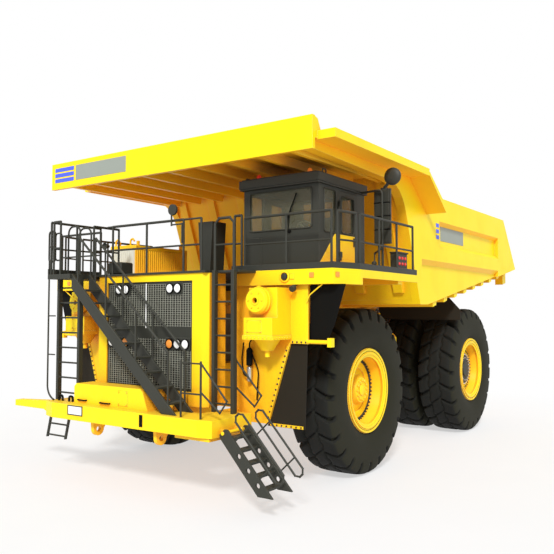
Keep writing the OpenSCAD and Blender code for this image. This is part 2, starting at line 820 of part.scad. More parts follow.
// Ladder that swings down to the ground from the left end of the bumper
module boarding_ladder() {
    hole_r = 42;
    hand = 500;
    loop_w = 190;
    loop_x0 = -40;
    loop_x1 = boarding_len - 90;
    half = boarding_w / 2;
    cut = boarding_w / tan(boarding_lean);
    y0 = boarding_y0;
    y1 = boarding_y1;
    d = post_d - 8;
    color(dark) translate([boarding_pivot[0], 0, boarding_pivot[1]]) rotate([0, boarding_lean, 0]) {
        for (y = [y0, y1 - stringer_t]) difference() {
            along(y, y + stringer_t, [
                [-30, -60], [10, -half], [boarding_len - cut, -half], [boarding_len, half], [10, half], [-30, 60]
            ]);
            translate([0, y - over, 0]) rotate([-90, 0, 0])
                cylinder(h = stringer_t + 2 * over, r = boarding_pin_r + fit);
            for (i = [1:3]) translate([i * 270 + 180, y - over, 10]) rotate([-90, 0, 0])
                cylinder(h = stringer_t + 2 * over, r = hole_r);
        }
        for (i = [0:4]) translate([110 + i * 240, 0, 0]) rotate([0, -boarding_lean, 0])
            block([-70, y0 + stringer_t - over, -20], [90, y1 - stringer_t + over, 15]);
        for (y = [y0 + stringer_t / 2, y1 - stringer_t / 2]) {
            for (x = [230, 930]) bar([x, y, half - 40], [x, y, hand + 5], d - 8);
            for (z = [hand, hand - loop_w]) bar([loop_x0 + 50, y, z], [loop_x1 - 50, y, z], d);
            for (e = [[loop_x0, 1], [loop_x1, -1]]) {
                bar([e[0] + 70 * e[1], y, hand + 8], [e[0] - 8 * e[1], y, hand - 70], d - 5);
                bar([e[0], y, hand - 50], [e[0], y, hand - loop_w + 50], d);
                bar([e[0] - 8 * e[1], y, hand - loop_w + 70], [e[0] + 70 * e[1], y, hand - loop_w - 8], d - 5);
            }
        }
    }
}

// Decks

// Deck plate with a folded fascia on its front and outer edges. grow is 0 for the outline and the plate
// thickness for the hollow inside the fascia.
function deck_plan(grow) = [
    [deck_x0 - over * sign(grow), deck_y0 + grow], [deck_x1 - deck_cut_x - grow * 0.8, deck_y0 + grow],
    [deck_x1 - grow, deck_y0 + deck_cut_y + grow * 0.2], [deck_x1 - grow, deck_y1 + over * sign(grow)],
    [deck_x0 - over * sign(grow), deck_y1 + over * sign(grow)]
];

module side_deck() {
    difference() {
        translate([0, 0, fascia_z]) linear_extrude(fascia_h) polygon(deck_plan(0));
        translate([0, 0, fascia_z - over]) linear_extrude(fascia_h - deck_t + over) polygon(deck_plan(deck_t));
        // The fascia is shallower beside the cab
        block([deck_x1 - 2 * deck_t, fa - 1710, fascia_z - 2 * over], [deck_x1 + over, deck_y1 + over, fascia_z + fascia_h * 0.45]);
    }
    // Cross beam on the arch, and a long beam under the plate
    block([deck_x0, fa - 220, fascia_z + 60], [deck_x1 - deck_t + over, fa - 60, deck_height - deck_t + over]);
}

module side_decks() {
    color(paint) both() side_deck();
}

module centre_deck() {
    color(dark) {
        block([-shroud_x, shroud_y0 - 30, shroud_top], [shroud_x, deck_y1, deck_height]);
        block([shroud_x - over, fa - 2940, shroud_top], [shroud_x + 560, deck_y0, deck_height]);
        block([-1000, fa - 220, arch_top], [1000, fa - 60, shroud_top + over]);
    }
}

module deck_rails() {
    z = deck_height;
    inset = 70;
    x1 = deck_x1 - inset;
    turn_y = deck_y0 + deck_cut_y;
    color(dark) {
        // Left deck: front, corner and side
        rail_run([deck_x0 + 260, deck_y0 + inset, z], [deck_x1 - deck_cut_x - inset, deck_y0 + inset, z], 3, rail_height);
        rail_run([deck_x1 - deck_cut_x - 30, deck_y0 + 190, z], [x1 - 10, turn_y, z], 2, rail_height);
        rail_run([x1, turn_y + 110, z], [x1, deck_y1 - inset, z], 4, rail_height);
        // Right deck
        mirror([1, 0, 0]) {
            rail_run([-platform_x0 + 90, deck_y0 + inset, z], [deck_x1 - deck_cut_x - inset, deck_y0 + inset, z], 2, rail_height);
            rail_run([deck_x1 - deck_cut_x - 30, deck_y0 + 190, z], [x1 - 10, turn_y, z], 2, rail_height);
            rail_run([x1, turn_y + 110, z], [x1, deck_y1 - inset, z], 4, rail_height);
        }
        // Centre deck, over the grille
        rail_run([-980, shroud_y0 + 20, z], [870, shroud_y0 + 20, z], 3, rail_height - 40);
        for (h = [1, 0.5]) bar([-1130, shroud_y0 + 20, z + (rail_height - 40) * h],
            [1290, shroud_y0 + 20, z + (rail_height - 40) * h], post_d - 8);
        bar([1290, shroud_y0 + 20, z], [1290, shroud_y0 + 20, z + rail_height - 40], post_d);
        // Hand loop beside the left ladder
        rail_run([deck_x0 + 30, deck_y0 + inset, z], [deck_x0 + 190, deck_y0 + inset, z], 2, rail_height + 60);
    }
}

// Fenders and air intake

bulk_y0 = fa - 2350;
bulk_t = 40;
bulk_x1 = 3000;
bulk_shelf_z = 2600;
bulk_waist_x = 2640;
bulk_foot_x = 2180;
bulk_foot_z = 1200;

module bulkheads() {
    color(paint) both() {
        along(bulk_y0, bulk_y0 + bulk_t, [
            [shroud_x + 30, deck_height - deck_t], [bulk_x1, deck_height - deck_t], [bulk_x1, bulk_shelf_z],
            [bulk_waist_x, bulk_shelf_z], [bulk_foot_x, bulk_foot_z], [shroud_x + 30, bulk_foot_z]
        ]);
        // Marker arm at the shelf
        bar([bulk_x1 - 40, bulk_y0 + bulk_t / 2, bulk_shelf_z + 40], [bulk_x1 + 430, bulk_y0 + bulk_t / 2, bulk_shelf_z + 40], 70);
        block([bulk_x1 + 390, bulk_y0 - 30, bulk_shelf_z - 40], [bulk_x1 + 470, bulk_y0 + bulk_t + 30, bulk_shelf_z + 110]);
        // Foot that stands on the bumper's side deck
        block([shroud_x + 30, bumper_deck_y, bulk_foot_z], [shroud_x + 90, bulk_y0 + over, bulk_foot_z + 230]);
    }
}

module mud_flaps() {
    y = bulk_y0 + bulk_t;
    color("#3a2f24") both() along(y, y + 20, [
        [bulk_waist_x - 40, bulk_shelf_z + 40], [bulk_x1 - 40, bulk_shelf_z + 40], [bulk_x1 - 90, bulk_foot_z - 40],
        [bulk_foot_x - 40, bulk_foot_z - 40]
    ]);
}

// Air cleaner: box housing, drum with a pierced cover, lower box with a flange, hopper and dust cup on each side
cleaner_x0 = 2060;
cleaner_x1 = 2650;
cleaner_d = 550;
cleaner_r = 225;
cleaner_z = deck_height - 530;

module air_cleaners() {
    y0 = bulk_y0 - cleaner_d;
    top = cleaner_z - cleaner_r - 60;
    low = top - 370;
    cup = [(cleaner_x0 + cleaner_x1) / 2, bulk_y0 - 270];
    color(paint) both() {
        block([cleaner_x0, y0, low + 70], [cleaner_x1, bulk_y0, top]);
        block([cleaner_x0 - 20, y0 - 20, low], [cleaner_x1 + 20, bulk_y0, low + 70 + over]);
        block([cleaner_x0, y0 + 150, top - over], [cleaner_x1, bulk_y0, cleaner_z + cleaner_r - 5]);
        translate([cleaner_x0 + cleaner_r + 30, y0 + 150 + over, cleaner_z]) rotate([90, 0, 0]) difference() {
            union() {
                cylinder(h = 130, r = cleaner_r);
                translate([0, 0, 130 - over]) cylinder(h = 40 + over, r1 = cleaner_r, r2 = cleaner_r - 30);
            }
            translate([0, 0, 100]) cylinder(h = 100, r = 48);
        }
        translate([cup[0], cup[1], low - 190]) cylinder(h = 190 + over, r1 = 105, r2 = 235);
        translate([cup[0], cup[1], low - 300]) cylinder(h = 110 + over, r = 45);
    }
}

module control_cabinet() {
    x0 = -2400;
    x1 = -1640;
    y0 = fa - 1900;
    y1 = fa - 300;
    z0 = deck_height;
    z1 = deck_height + 700;
    color(paint) difference() {
        union() {
            block([x0, y0, z0], [x1, y1, z1]);
            for (y = [y0 + 120, y1 - 160]) for (x = [x0 + 60, x1 - 110]) block([x, y, z1 - over], [x + 50, y + 50, z1 + 110]);
        }
        for (i = [0:8]) block([x0 + 50 + i * 78, y0 - over, z0 + 100], [x0 + 50 + i * 78 + 40, y0 + 30, z1 - 90]);
    }
}

// Dark box at the rear of the left deck
module deck_box() {
    x1 = deck_x1 - 105;
    color(dark) block([x1 - 145, fa - 110, deck_height], [x1, fa + 330, deck_height + 400]);
}

module deck_duct() {
    x = 190;
    y0 = fa - 1750;
    color(dark) along(y0, y0 + 420, [
        [x - 120, deck_height], [x + 120, deck_height], [x + 190, deck_height + 1080], [x - 190, deck_height + 1080]
    ]);
}

// Tanks
tank_x0 = 1250;
tank_w = 630;
tank_y0 = fa + 2330;
tank_l = 1150;
tank_z0 = 1150;
tank_h = 1450;

module side_tank(x0, x1, y0, y1, z0, z1) {
    c = 90;
    along(y0, y1, [
        [x0 + c, z0], [x1 - c, z0], [x1, z0 + c], [x1, z1 - c], [x1 - c, z1], [x0 + c, z1], [x0, z1 - c], [x0, z0 + c]
    ]);
}

// Fuel tank on the left and hydraulic tank on the right, each with its filler neck
module side_tanks() {
    color(paint) both() {
        side_tank(tank_x0, tank_x0 + tank_w, tank_y0, tank_y0 + tank_l, tank_z0, tank_z0 + tank_h);
        translate([tank_x0 + tank_w / 2, tank_y0 + tank_l / 2, tank_z0 + tank_h - over]) cylinder(h = 90, r = 90);
    }
}

// Cab

module cab_shell() {
    x0 = cab_x0;
    x1 = cab_x1;
    y0 = cab_y0;
    y1 = cab_y1;
    w = cab_wall;
    color(dark) difference() {
        block([x0, y0, cab_z0], [x1, y1, cab_z1]);
        block([x0 + w, y0 + w, cab_z0 + w], [x1 - w, y1 - w, cab_z1 + over]);
        for (hole = concat(front_windows, rear_windows)) window_cut_y(hole);
        for (hole = side_windows) window_cut_x(hole);
        // Doorways
        block([x0 - over, door_y0, door_z0], [x1 + over, door_y1, door_z1]);
    }
    color(dark) for (out = [-1, 1]) door_hinges(out);
}

// Windows as [low corner, high corner] of the hole through the wall
front_windows = [[[cab_x0 + 130, cab_y0, sill_z], [cab_x1 - 150, cab_y0 + cab_wall, head_z]]];
rear_windows = [[[cab_x0 + 250, cab_y1 - cab_wall, sill_z + 60], [cab_x1 - 250, cab_y1, head_z]]];
side_windows = [for (x = [cab_x0, cab_x1 - cab_wall])
    [[x, cab_y0 + 160, sill_z - 60], [x + cab_wall, door_y0 - 110, head_z]]];
door_frame = 90;
door_window_z0 = sill_z - 40;

module window_cut_y(hole) {
    block(hole[0] - [0, over, 0], hole[1] + [0, over, 0]);
}

module window_cut_x(hole) {
    block(hole[0] - [over, 0, 0], hole[1] + [over, 0, 0]);
}

module cab_roof() {
    x0 = cab_x0 - roof_over;
    x1 = cab_x1 + roof_over;
    y0 = cab_y0 - roof_over - 40;
    y1 = cab_y1 + roof_over;
    crown = 60;
    color(dark) along(y0, y1, [
        [x0, cab_z1], [x1, cab_z1], [x1, cab_z1 + roof_t - crown], [x1 - crown, cab_z1 + roof_t],
        [x0 + crown, cab_z1 + roof_t], [x0, cab_z1 + roof_t - crown]
    ]);
}

module cab_glass() {
    inset = 20;
    color([0.5, 0.6, 0.6, 0.35]) {
        for (h = concat(front_windows))
            block([h[0][0], h[0][1] + inset, h[0][2]], [h[1][0], h[0][1] + inset + glass_t, h[1][2]]);
        for (h = rear_windows)
            block([h[0][0], h[1][1] - inset - glass_t, h[0][2]], [h[1][0], h[1][1] - inset, h[1][2]]);
        h = side_windows[0];
        block([h[0][0] + inset, h[0][1], h[0][2]], [h[0][0] + inset + glass_t, h[1][1], h[1][2]]);
        k = side_windows[1];
        block([k[1][0] - inset - glass_t, k[0][1], k[0][2]], [k[1][0] - inset, k[1][1], k[1][2]]);
    }
}

// Outer face of the cab wall on a side: 1 is the left of the truck, -1 the right
function wall_x(out) = out > 0 ? cab_x1 : cab_x0;

// A box whose X runs from the wall's outer face, positive outwards
module wall_block(out, x0, x1, y0, y1, z0, z1) {
    a = wall_x(out) + out * x0;
    b = wall_x(out) + out * x1;
    block([min(a, b), y0, z0], [max(a, b), y1, z1]);
}

// Door leaf that fills a doorway, hinged on its front edge
module door(out) {
    y0 = door_y0 + door_gap;
    y1 = door_y1 - door_gap;
    z0 = door_z0 + door_gap;
    z1 = door_z1 - door_gap;
    f = door_frame;
    color(dark) difference() {
        union() {
            wall_block(out, -cab_wall, 0, y0, y1, z0, z1);
            for (z = hinge_z) {
                wall_block(out, -over, hinge_x, hinge_y, y0 + 60, z, z + hinge_h);
                translate([wall_x(out) + out * hinge_x, hinge_y, z]) cylinder(h = hinge_h, r = hinge_r);
            }
            wall_block(out, -over, 40, y1 - 130, y1 - 100, door_window_z0 - 220, door_window_z0 - 60);
        }
        wall_block(out, -cab_wall - over, over, y0 + f, y1 - f, door_window_z0, z1 - f);
        for (z = hinge_z) translate([wall_x(out) + out * hinge_x, hinge_y, z - over])
            cylinder(h = hinge_h + 2 * over, r = hinge_pin_r + fit);
        // Room for the fixed knuckles' side of the strap against the wall in front of the doorway
        for (z = hinge_z) wall_block(out, -2 * over, door_gap, hinge_y - hinge_r - over, y0, z - over, z + hinge_h + over);
    }
}

module door_glass(out) {
    f = door_frame + door_gap;
    mid = -cab_wall / 2;
    color([0.5, 0.6, 0.6, 0.35]) wall_block(out, mid - glass_t / 2, mid + glass_t / 2,
        door_y0 + f, door_y1 - f, door_window_z0, door_z1 - f);
}

// Fixed half of the door hinges: a knuckle on the wall with a pin that stands up through the door's barrel
module door_hinges(out) {
    for (z = hinge_z) {
        wall_block(out, -over, hinge_x, hinge_y - 50, hinge_y + 6, z - 60, z - fit);
        translate([wall_x(out) + out * hinge_x, hinge_y, z - 60]) cylinder(h = 60 - fit, r = hinge_r);
        translate([wall_x(out) + out * hinge_x, hinge_y, z - 60]) cylinder(h = 60 + hinge_h, r = hinge_pin_r);
    }
}

seat_y = cab_y0 + 1000;
seat_xs = [cab_x0 + 420, cab_x1 - 560];
seat_half = 240;
seat_z = 330;
seat_t = 130;

module cab_interior() {
    cab_console();
    color("#303030") for (x = seat_xs) translate([x, seat_y, cab_z0 + cab_wall]) cylinder(h = seat_z, r = 90);
}

// Seat cushions and backrests
module cab_seats() {
    color("#2b2b2d") for (x = seat_xs) translate([x, seat_y, cab_z0 + cab_wall]) {
        block([-seat_half, -seat_half, seat_z], [seat_half, seat_half, seat_z + seat_t]);
        across_seat_back(seat_half);
    }
}

// Leaning backrest behind a seat cushion
module across_seat_back(half) {
    foot = seat_z + seat_t - over;
    across(-half, half, [[150, foot], [250, foot], [330, foot + 620], [240, foot + 620]]);
}

module cab_console() {
    z = cab_z0 + cab_wall;
    w = cab_wall;
    x = cab_x1 - 560;
    color("#303030") {
        across(cab_x0 + w, cab_x1 - w, [
            [cab_y0 + w, z], [cab_y0 + 300, z], [cab_y0 + 330, z + 560], [cab_y0 + 250, z + 640], [cab_y0 + w, z + 640]
        ]);
        bar([x, cab_y0 + 250, z + 560], [x, cab_y0 + 470, z + 700], 70);
        translate([x, cab_y0 + 470, z + 700]) rotate([-58, 0, 0])
            rotate_extrude() translate([190, 0]) circle(r = 18);
        translate([x, cab_y0 + 470, z + 700]) rotate([-58, 0, 0]) for (a = [0, 120, 240])
            rotate([0, 0, a]) block([0, -16, -12], [190, 16, 12]);
    }
}

module beacons() {
    z = cab_z1 + roof_t;
    color("orange") for (x = [cab_x0 + 260, cab_x1 - 260]) translate([x, cab_y0 + 120, z]) {
        cylinder(h = 30, r = 55);
        translate([0, 0, 30]) cylinder(h = 70, r = 42);
    }
}

// Rear-view mirrors: a tall one and a round one on the left deck, a small one over the front rail
mirror_r = 165;
mirror_y = fa - 320;

module mirrors() {
    x = deck_x1 - 250;
    y = mirror_y;
    z = deck_height;
    color(dark) {
        bar([x - 60, y, z], [x - 60, y, z + 1640], tube_d);
        block([x - 200, y - 60, z + 560], [x + 140, y - 20, z + 1610]);
        bar([x - 60, y, z + 1600], [x + 180, y - 40, z + 1830], tube_d - 8);
        translate([x + 180, y - 20, z + 1830]) rotate([90, 0, 0]) cylinder(h = 40, r = mirror_r);
        front_mirror(870, z + rail_height - 40);
    }
}

// Small mirror on a bent tube that is clamped to the front of a rail post
module front_mirror(x, z) {
    d = tube_d - 16;
    y = shroud_y0 + 20 - (tube_d + d) / 2 - fit;
    low = z - 80;
    bar([x, y, z - 420], [x, y, low + 20], d);
    bar([x, y, low], [x - 260, y, low], d - 4);
    bar([x - 260, y, low - 20], [x - 260, y, z + 170], d);
    translate([x - 230, y + 20, z + 190]) rotate([90, 0, 0]) cylinder(h = 40, r = mirror_r * 0.6);
}

// Dump body

// Height of the floor's underside at a station along the truck
function floor_under(y) = floor_z + max(0, y - floor_kink_y) * floor_rise / 1000;

// Station of the front wall's outer face at a height
function wall_at(z) = wall_foot_y + (wall_head_y - wall_foot_y) * (z - floor_z) / (canopy_height - floor_z);

module body_floor() {
    beam_end = pivot_y + 260;
    first = floor_kink_y + 350;
    pitch = (tail_y - 750 - first) / (bolster_count - 1);
    color(paint) difference() {
        union() {
            across(-body_x0, body_x0, [
                [wall_at(floor_z), floor_z], [floor_kink_y, floor_z], [tail_y, floor_under(tail_y)],
                [tail_y - 20, floor_under(tail_y) + floor_t], [floor_kink_y, floor_z + floor_t],
                [wall_at(floor_z + floor_t), floor_z + floor_t]
            ]);
            for (i = [0:bolster_count - 1]) bolster(first + pitch * i);
            both() {
                across(beam_x0, beam_x1, [
                    [fa + 1950, floor_z + over], [floor_kink_y, floor_z + over],
                    [beam_end, floor_under(beam_end) + over], [beam_end, beam_z],
                    [fa + 3350, beam_z], [fa + 1950, floor_z - 120]
                ]);
                // Bracket under the tail
                across(2780, 3000, [
                    [tail_y - 470, floor_under(tail_y - 470) + over], [tail_y - 170, floor_under(tail_y - 170) + over],
                    [tail_y - 170, floor_under(tail_y) - 410], [tail_y - 470, floor_under(tail_y) - 470]
                ]);
                // Rubber-faced pads that rest on the frame rails
                for (y = [fa + 3700, fa + 4700, fa + 5700])
                    block([rail_x0 + 30, y, rest_z], [rail_x1 - 60, y + 420, beam_z + over]);
                across(ear_x0, ear_x1, [
                    [pivot_y - ear_r, pivot_z], [pivot_y + ear_r, pivot_z], [pivot_y + ear_r, beam_z + over],
                    [pivot_y - ear_r - 160, beam_z + over]
                ]);
                translate([ear_x0, pivot_y, pivot_z]) rotate([0, 90, 0]) cylinder(h = ear_x1 - ear_x0, r = ear_r);
                translate([beam_x1 - over, hoist_head[0], hoist_head[1]]) rotate([0, 90, 0])
                    cylinder(h = hoist_x + hoist_w / 2 + 60 - beam_x1, r = hoist_head_pin_r);
            }
        }
        both() translate([ear_x0 - over, pivot_y, pivot_z]) rotate([0, 90, 0])
            cylinder(h = ear_x1 - ear_x0 + 2 * over, r = pivot_r + fit);
    }
}

// One cross channel under the floor, as wide as the foot of the body sides
module bolster(y) {
    x = body_x1 - recess_d - 30;
    across(-x, x, [
        [y, floor_under(y)], [y + bolster_l, floor_under(y + bolster_l)],
        [y + bolster_l - 40, floor_under(y + bolster_l) - bolster_h], [y + 40, floor_under(y) - bolster_h]
    ]);
}

// Rubber flaps that hang from the floor in front of the rear tyres
module body_flaps() {
    y = ra - 1290;
    t = 25;
    low = tyre_d - 270;
    x0 = beam_x1 + 100;
    x1 = body_x1 - 145;
    color("#3a2f24") both() intersection() {
        across(x0, x1, [[y, floor_under(y)], [y + t, floor_under(y + t)], [y + t, low], [y, low]]);
        along(y - over, y + t + over, [
            [x0 - over, low - over], [x1 + over, low - over], [x1 + over, low + 250], [x1 - 650, low + 950], [x0 - over, low + 950]
        ]);
    }
}

// Body side with its two pressed recesses. beam is the depth of the beam that carries it forward
// under the canopy to the lip, and 0 where the side ends at the front wall.
module body_side(beam) {
    tangent = gusset_r * tan((90 - wall_lean) / 2);
    turn_z = canopy_height - beam;
    centre = [wall_at(turn_z) - tangent, turn_z - gusset_r];
    front = beam > 0 ? [[canopy_y0 + 30, canopy_height], [canopy_y0 + 30, turn_z + 60]] : [];
    steps = 6;
    outline = concat(
        [[wall_at(floor_z), floor_z], [floor_kink_y, floor_z], [tail_y, floor_under(tail_y)],
         [tail_top_y, body_top + 20], [eave_y + 700, body_top], [eave_y + 100, canopy_height]],
        front,
        // Curved gusset between the canopy and the front wall
        [for (i = [0:steps]) let (a = 90 - (90 - wall_lean) * i / steps) centre + gusset_r * [cos(a), sin(a)]]
    );
    z_up0 = canopy_height - 1260;
    z_up1 = canopy_height - 840;
    z_low = canopy_height - 1800;
    difference() {
        across(body_x0, body_x1, outline);
        along(fa + 2920, fa + 7330, [
            [body_x1 + over, z_up1 + 80], [body_x1, z_up1 + 80], [body_x1 - recess_d, z_up1],
            [body_x1 - recess_d, z_up0], [body_x1, z_up0 - 100], [body_x1 + over, z_up0 - 100]
        ]);
        along(fa + 1880, fa + 7290, [
            [body_x1 + over, z_low + 110], [body_x1, z_low + 110], [body_x1 - recess_d, z_low],
            [body_x1 - recess_d, floor_z - over], [body_x1 + over, floor_z - over]
        ]);
    }
}

module body_sides() {
    color(paint) {
        body_side(side_beam_h);
        mirror([1, 0, 0]) body_side(0);
    }
}

module body_front_wall() {
    foot = floor_z + floor_t;
    ribs = 7;
    color(paint) {
        across(-body_x0, body_x0, [
            [wall_at(foot), foot], [wall_at(canopy_height), canopy_height],
            [wall_at(canopy_height) + wall_t, canopy_height], [wall_at(foot) + wall_t, foot]
        ]);
        for (i = [0:ribs - 1]) {
            x = (i - (ribs - 1) / 2) * (body_x0 * 2 - 500) / (ribs - 1);
            across(x - 110, x + 110, [
                [wall_at(foot + 150) - wall_rib, foot + 150], [wall_at(canopy_height - 20) - wall_rib, canopy_height - 20],
                [wall_at(canopy_height - 20) + over, canopy_height - 20], [wall_at(foot + 150) + over, foot + 150]
            ]);
        }
    }
}

module canopy() {
    z0 = canopy_height;
    z1 = z0 + canopy_t;
    rear = wall_at(z0) + wall_t;
    lip_y1 = canopy_y0 + 30;
    lip_z0 = z0 - lip_drop;
    color(paint) {
        block([-lip_x, canopy_y0, z0], [lip_x, rear, z1]);
        canopy_wing(wing_y0);
        mirror([1, 0, 0]) canopy_wing(right_wing_y0);
        // Front lip with a gusset behind each end
        block([-lip_x, lip_y1 - lip_t_canopy, lip_z0], [lip_x, lip_y1, lip_z0 + lip_h]);
        both() across(lip_x - 30, lip_x, [
            [lip_y1 - over, z1 - over], [lip_y1 - over, lip_z0 + lip_h - 10], [lip_y1 + 90, lip_z0 + lip_h - 40],
            [lip_y1 + 220, z1 - over]
        ]);
        for (i = [0:canopy_ribs - 1]) {
            x = (i - (canopy_ribs - 1) / 2) * 2 * (body_x0 - 200) / (canopy_ribs - 1);
            canopy_rib(x);
        }
    }
}

// Wing outside the main plate with a folded edge, and the eave that slopes down behind the front wall
module canopy_wing(front_y) {
    z0 = canopy_height;
    z1 = z0 + canopy_t;
    rear = wall_at(z0) + wall_t;
    block([lip_x - over, front_y, z0], [canopy_x, rear, z1]);
    across(body_x1, canopy_x, [
        [rear - over, z0], [eave_y, z0], [eave_end_y, z0 - eave_drop], [eave_end_y, z1 - eave_drop + 60],
        [eave_y, z1], [rear - over, z1]
    ]);
    block([canopy_x - edge_t, front_y, z0 - edge_low], [canopy_x, eave_y, z0 - edge_low + edge_h]);
    block([lip_x + over, front_y, z0 - edge_low], [canopy_x - edge_t + over, front_y + edge_t, z0 - edge_low + edge_h]);
}

// One tapered rib under the canopy plate
module canopy_rib(x) {
    along(canopy_y0 + 20, wall_head_y - wall_rib - 40, [
        [x - rib_w / 2, canopy_height + over], [x - rib_w / 2 + 40, canopy_height - rib_h],
        [x + rib_w / 2 - 40, canopy_height - rib_h], [x + rib_w / 2, canopy_height + over]
    ]);
}

// Hoist cylinders

// Places pieces along the hoist axis, with Z from the foot pin to the head pin
module on_hoist() {
    both() translate([hoist_x, hoist_foot[0], hoist_foot[1]]) rotate([hoist_lean, 0, 0]) children();
}

module hoist_barrels() {
    top = hoist_len - 300;
    color(paint) on_hoist() difference() {
        union() {
            translate([0, 0, 130]) cylinder(h = top - 130, r = barrel_r);
            translate([-hoist_w / 2, 0, 0]) rotate([0, 90, 0]) cylinder(h = hoist_w, r = 150);
        }
        translate([-hoist_w, 0, 0]) rotate([0, 90, 0]) cylinder(h = 2 * hoist_w, r = hoist_pin_r + fit);
        translate([0, 0, 200]) cylinder(h = top, r = barrel_r - hoist_step);
    }
}

// One telescoping tube of the hoist, number n counted from the barrel
module hoist_tube(n) {
    r = barrel_r - hoist_step * n - fit;
    low = 200 + 10 * n;
    top = hoist_len - 300 + 35 * n;
    difference() {
        translate([0, 0, low]) cylinder(h = top - low, r = r);
        translate([0, 0, low - over]) cylinder(h = top, r = barrel_r - hoist_step * (n + 1));
    }
}

module hoist_outer_tubes() {
    color("silver") on_hoist() hoist_tube(1);
}

module hoist_inner_tubes() {
    color("silver") on_hoist() hoist_tube(2);
}

// Innermost rods, whose wide eyes leave room for the body pin
module hoist_rods() {
    eye_r = hoist_head_pin_r + hoist_eye_slack;
    color("silver") on_hoist() difference() {
        union() {
            translate([0, 0, 230]) cylinder(h = hoist_len - 230 - eye_r, r = barrel_r - 3 * hoist_step - fit);
            translate([-hoist_w / 2, 0, hoist_len]) rotate([0, 90, 0]) cylinder(h = hoist_w, r = eye_r + 45);
        }
        translate([-hoist_w, 0, hoist_len]) rotate([0, 90, 0]) cylinder(h = 2 * hoist_w, r = eye_r);
    }
}

frame();
front_arch();
arch_beam();
suspension_struts();
power_unit();
rear_axle();
side_tanks();
steering_cylinders();
radiator_shroud();
radiator_core();
grille();
headlamps();
bumper();
bumper_box();
front_stairway();
ladders();
right_platform();
centre_deck();
side_decks();
deck_rails();
bulkheads();
mud_flaps();
air_cleaners();
control_cabinet();
deck_duct();
deck_box();
mirrors();
cab_shell();
cab_roof();
cab_glass();
cab_interior();
cab_seats();
beacons();
door(1);  // left_door
door_glass(1);  // left_door_glass
door(-1);  // right_door
door_glass(-1);  // right_door_glass
boarding_ladder();
knuckle(1);  // left_knuckle
knuckle(-1);  // right_knuckle
tie_rod();
steering_rods();
front_wheel(1);  // front_left_wheel
tyre(front_wheel_x, fa);  // front_left_tyre
front_wheel(-1);  // front_right_wheel
tyre(-front_wheel_x, fa);  // front_right_tyre
rear_wheels(1);  // rear_left_wheels
rear_tyres(1);  // rear_left_tyres
rear_wheels(-1);  // rear_right_wheels
rear_tyres(-1);  // rear_right_tyres
body_floor();
body_sides();
body_front_wall();
canopy();
body_flaps();
hoist_barrels();
hoist_outer_tubes();
hoist_inner_tubes();
hoist_rods();
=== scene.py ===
# %% [markdown]
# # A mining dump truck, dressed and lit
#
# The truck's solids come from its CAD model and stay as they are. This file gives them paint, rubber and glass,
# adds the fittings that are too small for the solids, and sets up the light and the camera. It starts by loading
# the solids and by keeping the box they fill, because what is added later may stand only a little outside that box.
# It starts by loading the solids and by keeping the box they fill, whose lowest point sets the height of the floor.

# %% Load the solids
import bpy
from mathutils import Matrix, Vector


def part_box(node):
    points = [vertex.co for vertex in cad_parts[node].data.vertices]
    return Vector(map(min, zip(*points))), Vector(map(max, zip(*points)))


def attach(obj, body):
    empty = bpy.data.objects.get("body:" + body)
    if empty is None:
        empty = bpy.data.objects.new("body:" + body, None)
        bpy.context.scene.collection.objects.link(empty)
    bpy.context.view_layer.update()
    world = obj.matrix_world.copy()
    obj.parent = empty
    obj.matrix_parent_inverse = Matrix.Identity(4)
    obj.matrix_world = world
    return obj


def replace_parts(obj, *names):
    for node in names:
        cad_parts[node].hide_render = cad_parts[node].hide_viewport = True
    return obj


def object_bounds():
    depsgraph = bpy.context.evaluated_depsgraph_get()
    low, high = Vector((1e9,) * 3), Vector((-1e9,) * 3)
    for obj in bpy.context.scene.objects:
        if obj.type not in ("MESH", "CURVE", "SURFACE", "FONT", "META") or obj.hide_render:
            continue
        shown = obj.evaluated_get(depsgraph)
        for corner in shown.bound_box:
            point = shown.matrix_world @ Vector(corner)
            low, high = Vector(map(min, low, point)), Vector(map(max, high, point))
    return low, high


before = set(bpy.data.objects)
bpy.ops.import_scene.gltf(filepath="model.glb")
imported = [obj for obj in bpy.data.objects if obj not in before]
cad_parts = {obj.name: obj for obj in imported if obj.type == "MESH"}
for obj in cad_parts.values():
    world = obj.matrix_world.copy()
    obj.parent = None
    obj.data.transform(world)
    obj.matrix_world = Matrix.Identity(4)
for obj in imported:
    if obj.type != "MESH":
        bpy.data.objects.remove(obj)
solid_box = [tuple(corner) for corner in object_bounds()]

import math
import bmesh
import bpy
import numpy as np

print("solids fill", [[round(c, 3) for c in corner] for corner in solid_box])

# %% [markdown]
# ## Camera
#
# A photographer stood about 12 m from the left headlamps, off the truck's front left corner, and held the camera
# 3.2 m above the ground. A lens of 44 mm on a 36 mm sensor gives the same foreshortening. The camera is aimed with a
# direction vector rather than with angles, because a point to look at is easier to check against the truck.

# %% Camera
camera = bpy.data.objects.new("camera", bpy.data.cameras.new("camera"))
bpy.context.scene.collection.objects.link(camera)
stand, target = np.array((9.09, -14.495, 3.16)), np.array((-1.354, 0.3675, 4.069))
camera.location = stand
aim = target - stand
turn_z = math.atan2(-aim[0], aim[1])
lift = math.atan2(aim[2], math.hypot(aim[0], aim[1]))
camera.rotation_euler = (math.pi / 2 + lift, 0.0, turn_z)
camera.data.lens = 43.81
camera.data.sensor_width = 36.0
camera.data.clip_end = 500.0
bpy.context.scene.camera = camera
bpy.context.scene.view_settings.view_transform = "Standard"
print("camera turned", round(math.degrees(turn_z), 2), "lifted", round(math.degrees(lift), 2))

# %% [markdown]
# ## One way to write shader formulas
#
# A finish is a formula over the surface: how dusty is this spot, how worn is that edge. Building it node by node
# hides the formula, so one small class stands for a socket and turns arithmetic into Math nodes. Everything that
# isn't arithmetic goes through a single method that takes a node's type, then its settings, then its inputs.

